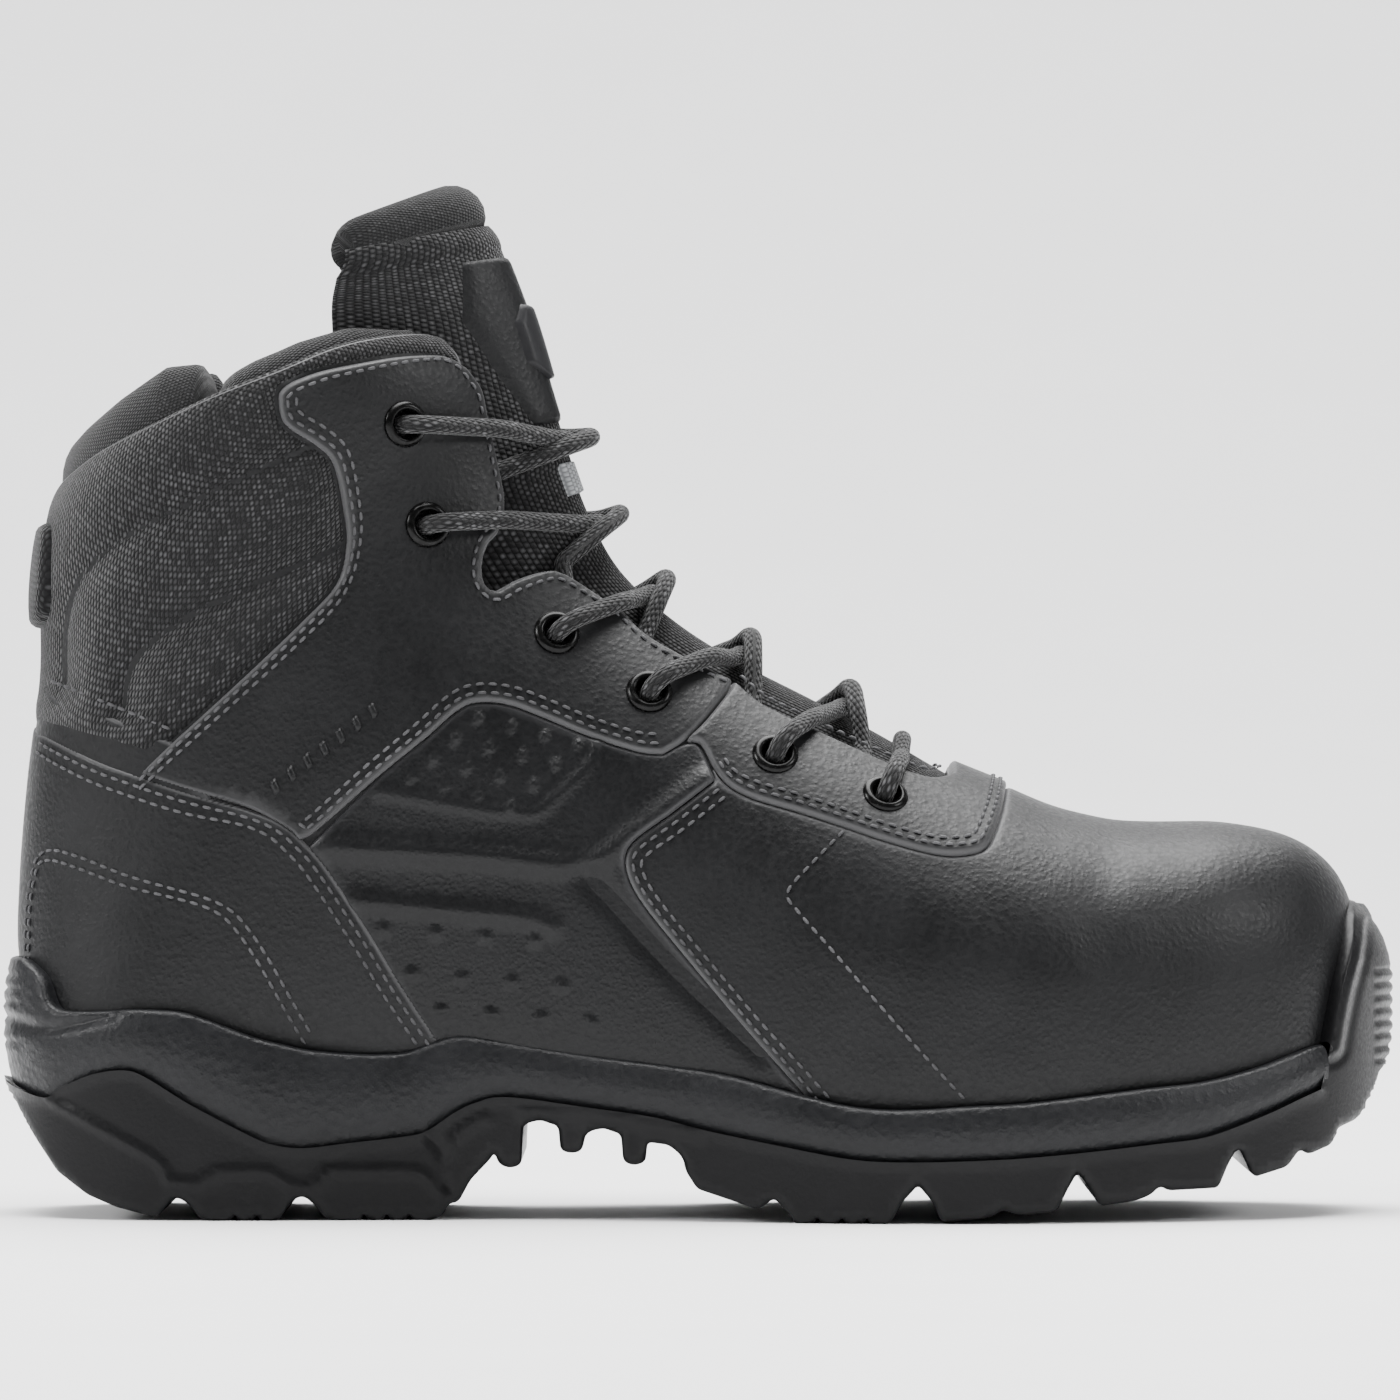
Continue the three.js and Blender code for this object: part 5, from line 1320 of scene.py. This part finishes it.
SEAMS = [  # line, distances to its side in mm, lift of the leather there
    (HEEL_TOP[1:], (2.0, 4.0), 1.0), (STAY_TOP[2:], (-2.0,), 0.5), (QUARTER_REAR, (2.0, 4.0), 1.1),
    (QUARTER_TOP, (2.0,), 1.1), (FACING_UPPER, (2.4,), 1.1), (QUARTER_LOWER, (2.0, 4.0), 1.1),
    (FACING_LOWER, (-2.4,), 1.3), (THROAT_LOWER, (-2.0, -3.8), 1.3), (VAMP_REAR, (-2.0, -4.0), 0.3),
    ([(32.4, 87.3), (25.9, 80.8), (19.6, 73.6), (21.4, 69.8), (29.3, 60.8), (38.9, 49.7), (48.6, 38.7),
      (60.3, 26)], (0.0,), 0.3),
    ([(-151.7, 56), (-151.4, 69), (-150, 77), (-148.5, 81), (-145, 82.4), (-138, 80.6), (-128.5, 77),
      (-119, 74.3), (-110, 71.8), (-104.6, 69), (-100.6, 64.6), (-96, 57.6), (-91, 48.6), (-85.7, 39.4)],
     (0.0, 2.0), 1.0),
]


def stitching(side, sign):
    """All the visible stitches of one side."""
    made = []
    for line, distances, lift in SEAMS:
        places = chart(spline(line))
        for distance in distances:
            row = flat_inset(places, distance, closed=False) if distance else places
            made += stitched_row(one_side(row, sign), lift)
    points, faces = joined(made)
    return mesh_object("stitching_" + side, points, faces, THREAD)


for side, sign in SIDES.items():
    finished(stitching(side, sign), "root")

# ------------------------------------------------------------------ eyelets
# [radius, height over the upper] round the ring: barrel, rolled flange, seat, and the clenched rim behind
EYELET_PROFILE = [(3.0, -2.9), (2.95, 1.0), (3.05, 1.75), (3.4, 2.15), (4.0, 2.3), (4.6, 2.05),
                  (5.1, 1.55), (5.3, 1.0), (5.2, 0.7), (4.4, 0.6), (3.7, 0.2), (3.6, -2.3), (4.6, -2.4),
                  (4.7, -2.8), (3.6, -3.1)]


def eyelet_object(side, number):
    """A turned ring that clamps the quarter."""
    centre, normal = EYELET_AXES[side, number]
    first = np.cross(normal, (0.3, 0, 1.0))
    first /= np.linalg.norm(first)
    second = np.cross(normal, first)
    around = 40
    points = []
    for radius, height in EYELET_PROFILE:
        for angle in np.linspace(0, TAU, around, endpoint=False):
            spoke = first * math.cos(angle) + second * math.sin(angle)
            points.append(centre + spoke * radius + normal * height)
    faces = grid_faces(len(EYELET_PROFILE), around, closed=True)
    last = (len(EYELET_PROFILE) - 1) * around
    faces += [(last + j, last + (j + 1) % around, (j + 1) % around, j) for j in range(around)]
    return mesh_object(f"eyelet_painted_{side}_{number}", points, faces, PAINTED)


for side, number in EYELET_AXES:
    finished(eyelet_object(side, number), "root", [f"eyelet_{side}_{number}"])

# ------------------------------------------------------------------ lace
# The same route as the CAD lace. Row by row from the top: where a strand passes over the facing's edge,
# where it comes out under it, and the height of the tongue's crest that it crosses.
CROSSINGS = [((-47, 177), (-45, 168), 175), ((-44.8, 155.8), (-27.4, 143.4), 155.5),
             ((-19, 136.2), (-9.5, 129), 139), ((1, 123.8), (12, 116.2), 124.5),
             ((24, 109.6), (37, 103.8), 112.5), ((44, 100.8), (44, 100.8), 105.5)]
LACE_RADIUS = 2.1
LACE_GAP = 0.8
LACE_BEND = 4.5  # radius of the bend into an eyelet
LACE_OUTSIDE = 5.0  # height over the leather where that bend starts
LACE_INSIDE = 6.1  # depth under the leather of the run behind the facing
LEATHER_THICKNESS = 2.2
TAIL = [(-74, 174.5, 24.2), (-81, 168, 24.5), (-84, 158, 24.6), (-84.5, 140, 24.6), (-84.5, 118, 24.6),
        (-84.5, 97, 24.6)]


def off_upper(place, sign, height):
    """A point height mm off the upper, at a side view point on one side."""
    along, turn = chart([place])[0]
    return on_upper(along, sign * turn, height)[0][0]


def under_facing(row, sign):
    """Where the strand of a row comes out under the facing."""
    return off_upper(CROSSINGS[row - 1][1], sign, -LEATHER_THICKNESS - LACE_RADIUS - LACE_GAP)


def over_tongue(z, across, height):
    """A point height mm over the tongue's face."""
    return tongue_point(tongue_at(z), -height, across)


def through_eyelet(side, number, outside_point, inside_point):
    """The way through an eyelet, from a strand outside it towards a point inside it."""
    centre, normal = EYELET_AXES[side, number]

    def flat(point):
        offset = point - centre
        offset = offset - normal * offset.dot(normal)
        return offset / np.linalg.norm(offset)

    outside, inside = flat(outside_point), flat(inside_point)
    bend = LACE_BEND * (1 - math.sqrt(0.5))
    steps = [(LACE_OUTSIDE, outside, LACE_BEND), (LACE_OUTSIDE - bend, outside, bend),
             (LACE_OUTSIDE - LACE_BEND, outside, 0), (LACE_BEND - LACE_INSIDE, inside, 0),
             (bend - LACE_INSIDE, inside, bend), (-LACE_INSIDE, inside, LACE_BEND)]
    return [centre + normal * height + direction * reach for height, direction, reach in steps]


def strand(row, into_side, inside_target):
    """From inside the eyelet below on one side, over the tongue, into this row's eyelet on the other."""
    into = SIDES[into_side]
    over, _, crest = CROSSINGS[row - 1]
    low = LACE_RADIUS + LACE_GAP
    lift = 2 * LACE_RADIUS + LACE_GAP if into_side == "medial" else 0
    over_edge = off_upper(over, into, LACE_RADIUS + 1.2)
    return [under_facing(row, -into), over_tongue(crest - 3, -into * 0.5, low + 0.6),
            over_tongue(crest - 1, -into * 0.24, low + lift * 0.8), over_tongue(crest, 0, low + lift),
            over_tongue(crest + 1, into * 0.26, low + lift * 0.7 + 1), over_edge,
            *through_eyelet(into_side, row, over_edge, inside_target)]


def bottom_bar():
    """The lace across the lowest pair of eyelets."""
    over, _, crest = CROSSINGS[5]
    low = LACE_RADIUS + LACE_GAP
    ends = {}
    for side, sign in SIDES.items():
        edge = off_upper(over, sign, LACE_RADIUS + 1.2)
        ends[side] = [over_tongue(crest, sign * 0.45, low), edge,
                      *through_eyelet(side, 6, edge, under_facing(5, sign))]
    return ends["medial"][::-1] + [over_tongue(crest, 0, low)] + ends["lateral"]


def tail(sign):
    """The free end inside the boot, from the top eyelet down to the aglet."""
    return [np.array([x, sign * y, z]) for x, z, y in TAIL]


def half_lace(side):
    """From the bottom bar up, changing sides at each crossing, to the tail."""
    other = {"lateral": "medial", "medial": "lateral"}
    points = []
    for row in range(5, 0, -1):
        side = other[side]
        target = under_facing(row - 1, SIDES[side]) if row > 1 else tail(SIDES[side])[0]
        points += strand(row, side, target)
    return points + tail(SIDES[side])


def tube_rings(line, sizes, around):
    """Rings of the given radii along a line, without twist."""
    up = np.array([0, 1, 0.01])
    angles = np.linspace(0, TAU, around, endpoint=False)
    rings = []
    for i, centre in enumerate(line):
        run = line[min(i + 1, len(line) - 1)] - line[max(i - 1, 0)]
        run = run / np.linalg.norm(run)
        right = up - run * up.dot(run)
        right /= np.linalg.norm(right)
        over = np.cross(run, right)
        up = right
        spokes = np.outer(np.cos(angles), right) + np.outer(np.sin(angles), over)
        rings.append(centre + sizes[i] * spokes)
    return rings


lace_line = chamfered(half_lace("medial")[::-1] + bottom_bar() + half_lace("lateral"), 4.5, 3)
lace_line = resampled(lace_line, 0.9)
rings = tube_rings(lace_line, np.full(len(lace_line), LACE_RADIUS), 18)
points, faces = closed_loft(rings)
finished(mesh_object("lace_braid", points, faces, BRAID, uv=ring_uv(rings)), "root", ["lace"])

# distance from the lace's end, radius
AGLET_PROFILE = [(0, 0.9), (0.3, 1.6), (0.9, 1.95), (2, 2.05), (10, 1.9), (17.6, 1.85), (19.3, 1.6),
                 (19.9, 1.1)]
for side, sign in SIDES.items():
    end = tail(sign)[-1]
    line = np.array([end - [0, 0, 0.1 + drop] for drop, _ in AGLET_PROFILE])
    points, faces = closed_loft(tube_rings(line, [radius for _, radius in AGLET_PROFILE], 24))
    finished(mesh_object("aglet_cap_" + side, points, faces, PLASTIC), "root", ["aglet_" + side])

# ------------------------------------------------------------------ plain bars in place of a mark
BAR_LINE = [(-96.5, 95.6), (-70.7, 115.7)]
BAR_COUNT = 7
BAR_PITCH = 4.6
BAR_HALF_HEIGHT = 1.7
BAR_BASE, BAR_TOP = 1.0, 2.1  # height of a bar's rim and of its face over the upper


def plain_bars(side, sign):
    """A row of small slanted bars, raised from the quarter."""
    (x0, z0), (x1, z1) = BAR_LINE
    run = np.array([x1 - x0, z1 - z0])
    run = run / np.linalg.norm(run)
    rise = np.array([-run[1], run[0]])
    made = []
    for k in range(BAR_COUNT):
        middle = np.array([x0, z0]) + run * (2 + k * BAR_PITCH)
        corners = [middle + run * shift + rise * height for shift, height in
                   ((-1.4, -BAR_HALF_HEIGHT), (0.6, -BAR_HALF_HEIGHT),
                    (1.4, BAR_HALF_HEIGHT), (-0.6, BAR_HALF_HEIGHT))]
        across, up = np.meshgrid(np.linspace(0, 1, 5), np.linspace(0, 1, 7))
        low = corners[0] * (1 - across[..., None]) + corners[1] * across[..., None]
        high = corners[3] * (1 - across[..., None]) + corners[2] * across[..., None]
        flat = (low * (1 - up[..., None]) + high * up[..., None]).reshape(-1, 2)
        rim = ((across % 1 == 0) | (up % 1 == 0)).ravel()
        places = chart(flat)
        heights = np.where(rim, BAR_BASE, BAR_TOP)
        points, _ = on_upper(places[:, 0], sign * places[:, 1], heights)
        made.append((points, grid_faces(7, 5)))
    points, faces = joined(made)
    return mesh_object("plain_bars_" + side, points, faces, LEATHER_RAISED)


for side, sign in SIDES.items():
    finished(plain_bars(side, sign), "root")

# ------------------------------------------------------------------ CAD parts that show as they are
SHOWN_AS_BUILT = {"steel_toe_cap": STEEL, "shank": STEEL, "toe_cap_gasket": FOAM, "heel_counter": BOARD,
                  "insole_board": BOARD}
for name, material in SHOWN_AS_BUILT.items():
    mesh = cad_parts[name].data
    mesh.materials.clear()
    mesh.materials.append(material)

# ------------------------------------------------------------------ floor, lights and camera
FLOOR_SIZE = 12000.0
FLOOR_BEND = 1500.0  # radius of the bend from the floor to the wall
FLOOR_DROP = 0.05  # how far the floor is under the boot


def floor_material():
    """A matt, pale grey."""
    material, tree, shader = new_material("pale_floor", 0.75)
    grain = noise(tree, place_mm(tree), 60, 3)
    base = mixed(tree, grain, (0.80, 0.80, 0.805), (0.84, 0.84, 0.845))
    tree.links.new(base, shader.inputs["Base Color"])
    return material


def floor_object():
    """A floor that curves up into a wall far behind, so that no horizon shows."""
    half, bend = FLOOR_SIZE / 2, FLOOR_BEND
    angles = np.linspace(0, math.pi / 2, 24)
    curve = [(bend * 1.2 + bend * math.sin(a), bend - bend * math.cos(a)) for a in angles]
    profile = [(-half, 0.0), *curve, (bend * 2.2, half)]
    points = [(x, y, z - FLOOR_DROP) for y, z in profile for x in (-half, half)]
    return mesh_object("floor", points, grid_faces(len(profile), 2), floor_material())


floor_object()

BOOT_MIDDLE = (0, 0, 0.1)  # in metres, as are the places and sizes of the lights and the camera


def area_light(name, place, size, power):
    """A square light that faces the middle of the boot."""
    data = bpy.data.lights.new(name, "AREA")
    data.energy = power
    data.size = size
    light = bpy.data.objects.new(name, data)
    bpy.context.scene.collection.objects.link(light)
    light.location = place
    aim = Vector(BOOT_MIDDLE) - Vector(place)
    light.rotation_euler = aim.to_track_quat("-Z", "Y").to_euler()


area_light("overhead", (0.0, -0.15, 2.2), 1.6, 95)
area_light("over_the_heel", (-1.5, -0.5, 0.9), 0.5, 22)
area_light("over_the_toe", (1.5, -0.7, 1.0), 0.5, 14)
area_light("backdrop", (0.0, 1.0, 3.0), 3.0, 260)

world = bpy.data.worlds.new("studio")
bpy.context.scene.world = world
world.use_nodes = True
background = world.node_tree.nodes["Background"]
background.inputs["Color"].default_value = (1.0, 1.0, 1.0, 1)
background.inputs["Strength"].default_value = 0.35

CAMERA_AWAY = 2.3
CAMERA_HEIGHT = 0.1163
lens = bpy.data.cameras.new("camera")
lens.lens = 260
lens.sensor_width = 36
camera = bpy.data.objects.new("camera", lens)
bpy.context.scene.collection.objects.link(camera)
camera.location = (0, -CAMERA_AWAY, CAMERA_HEIGHT)
camera.rotation_euler = (math.pi / 2, 0, 0)
bpy.context.scene.camera = camera
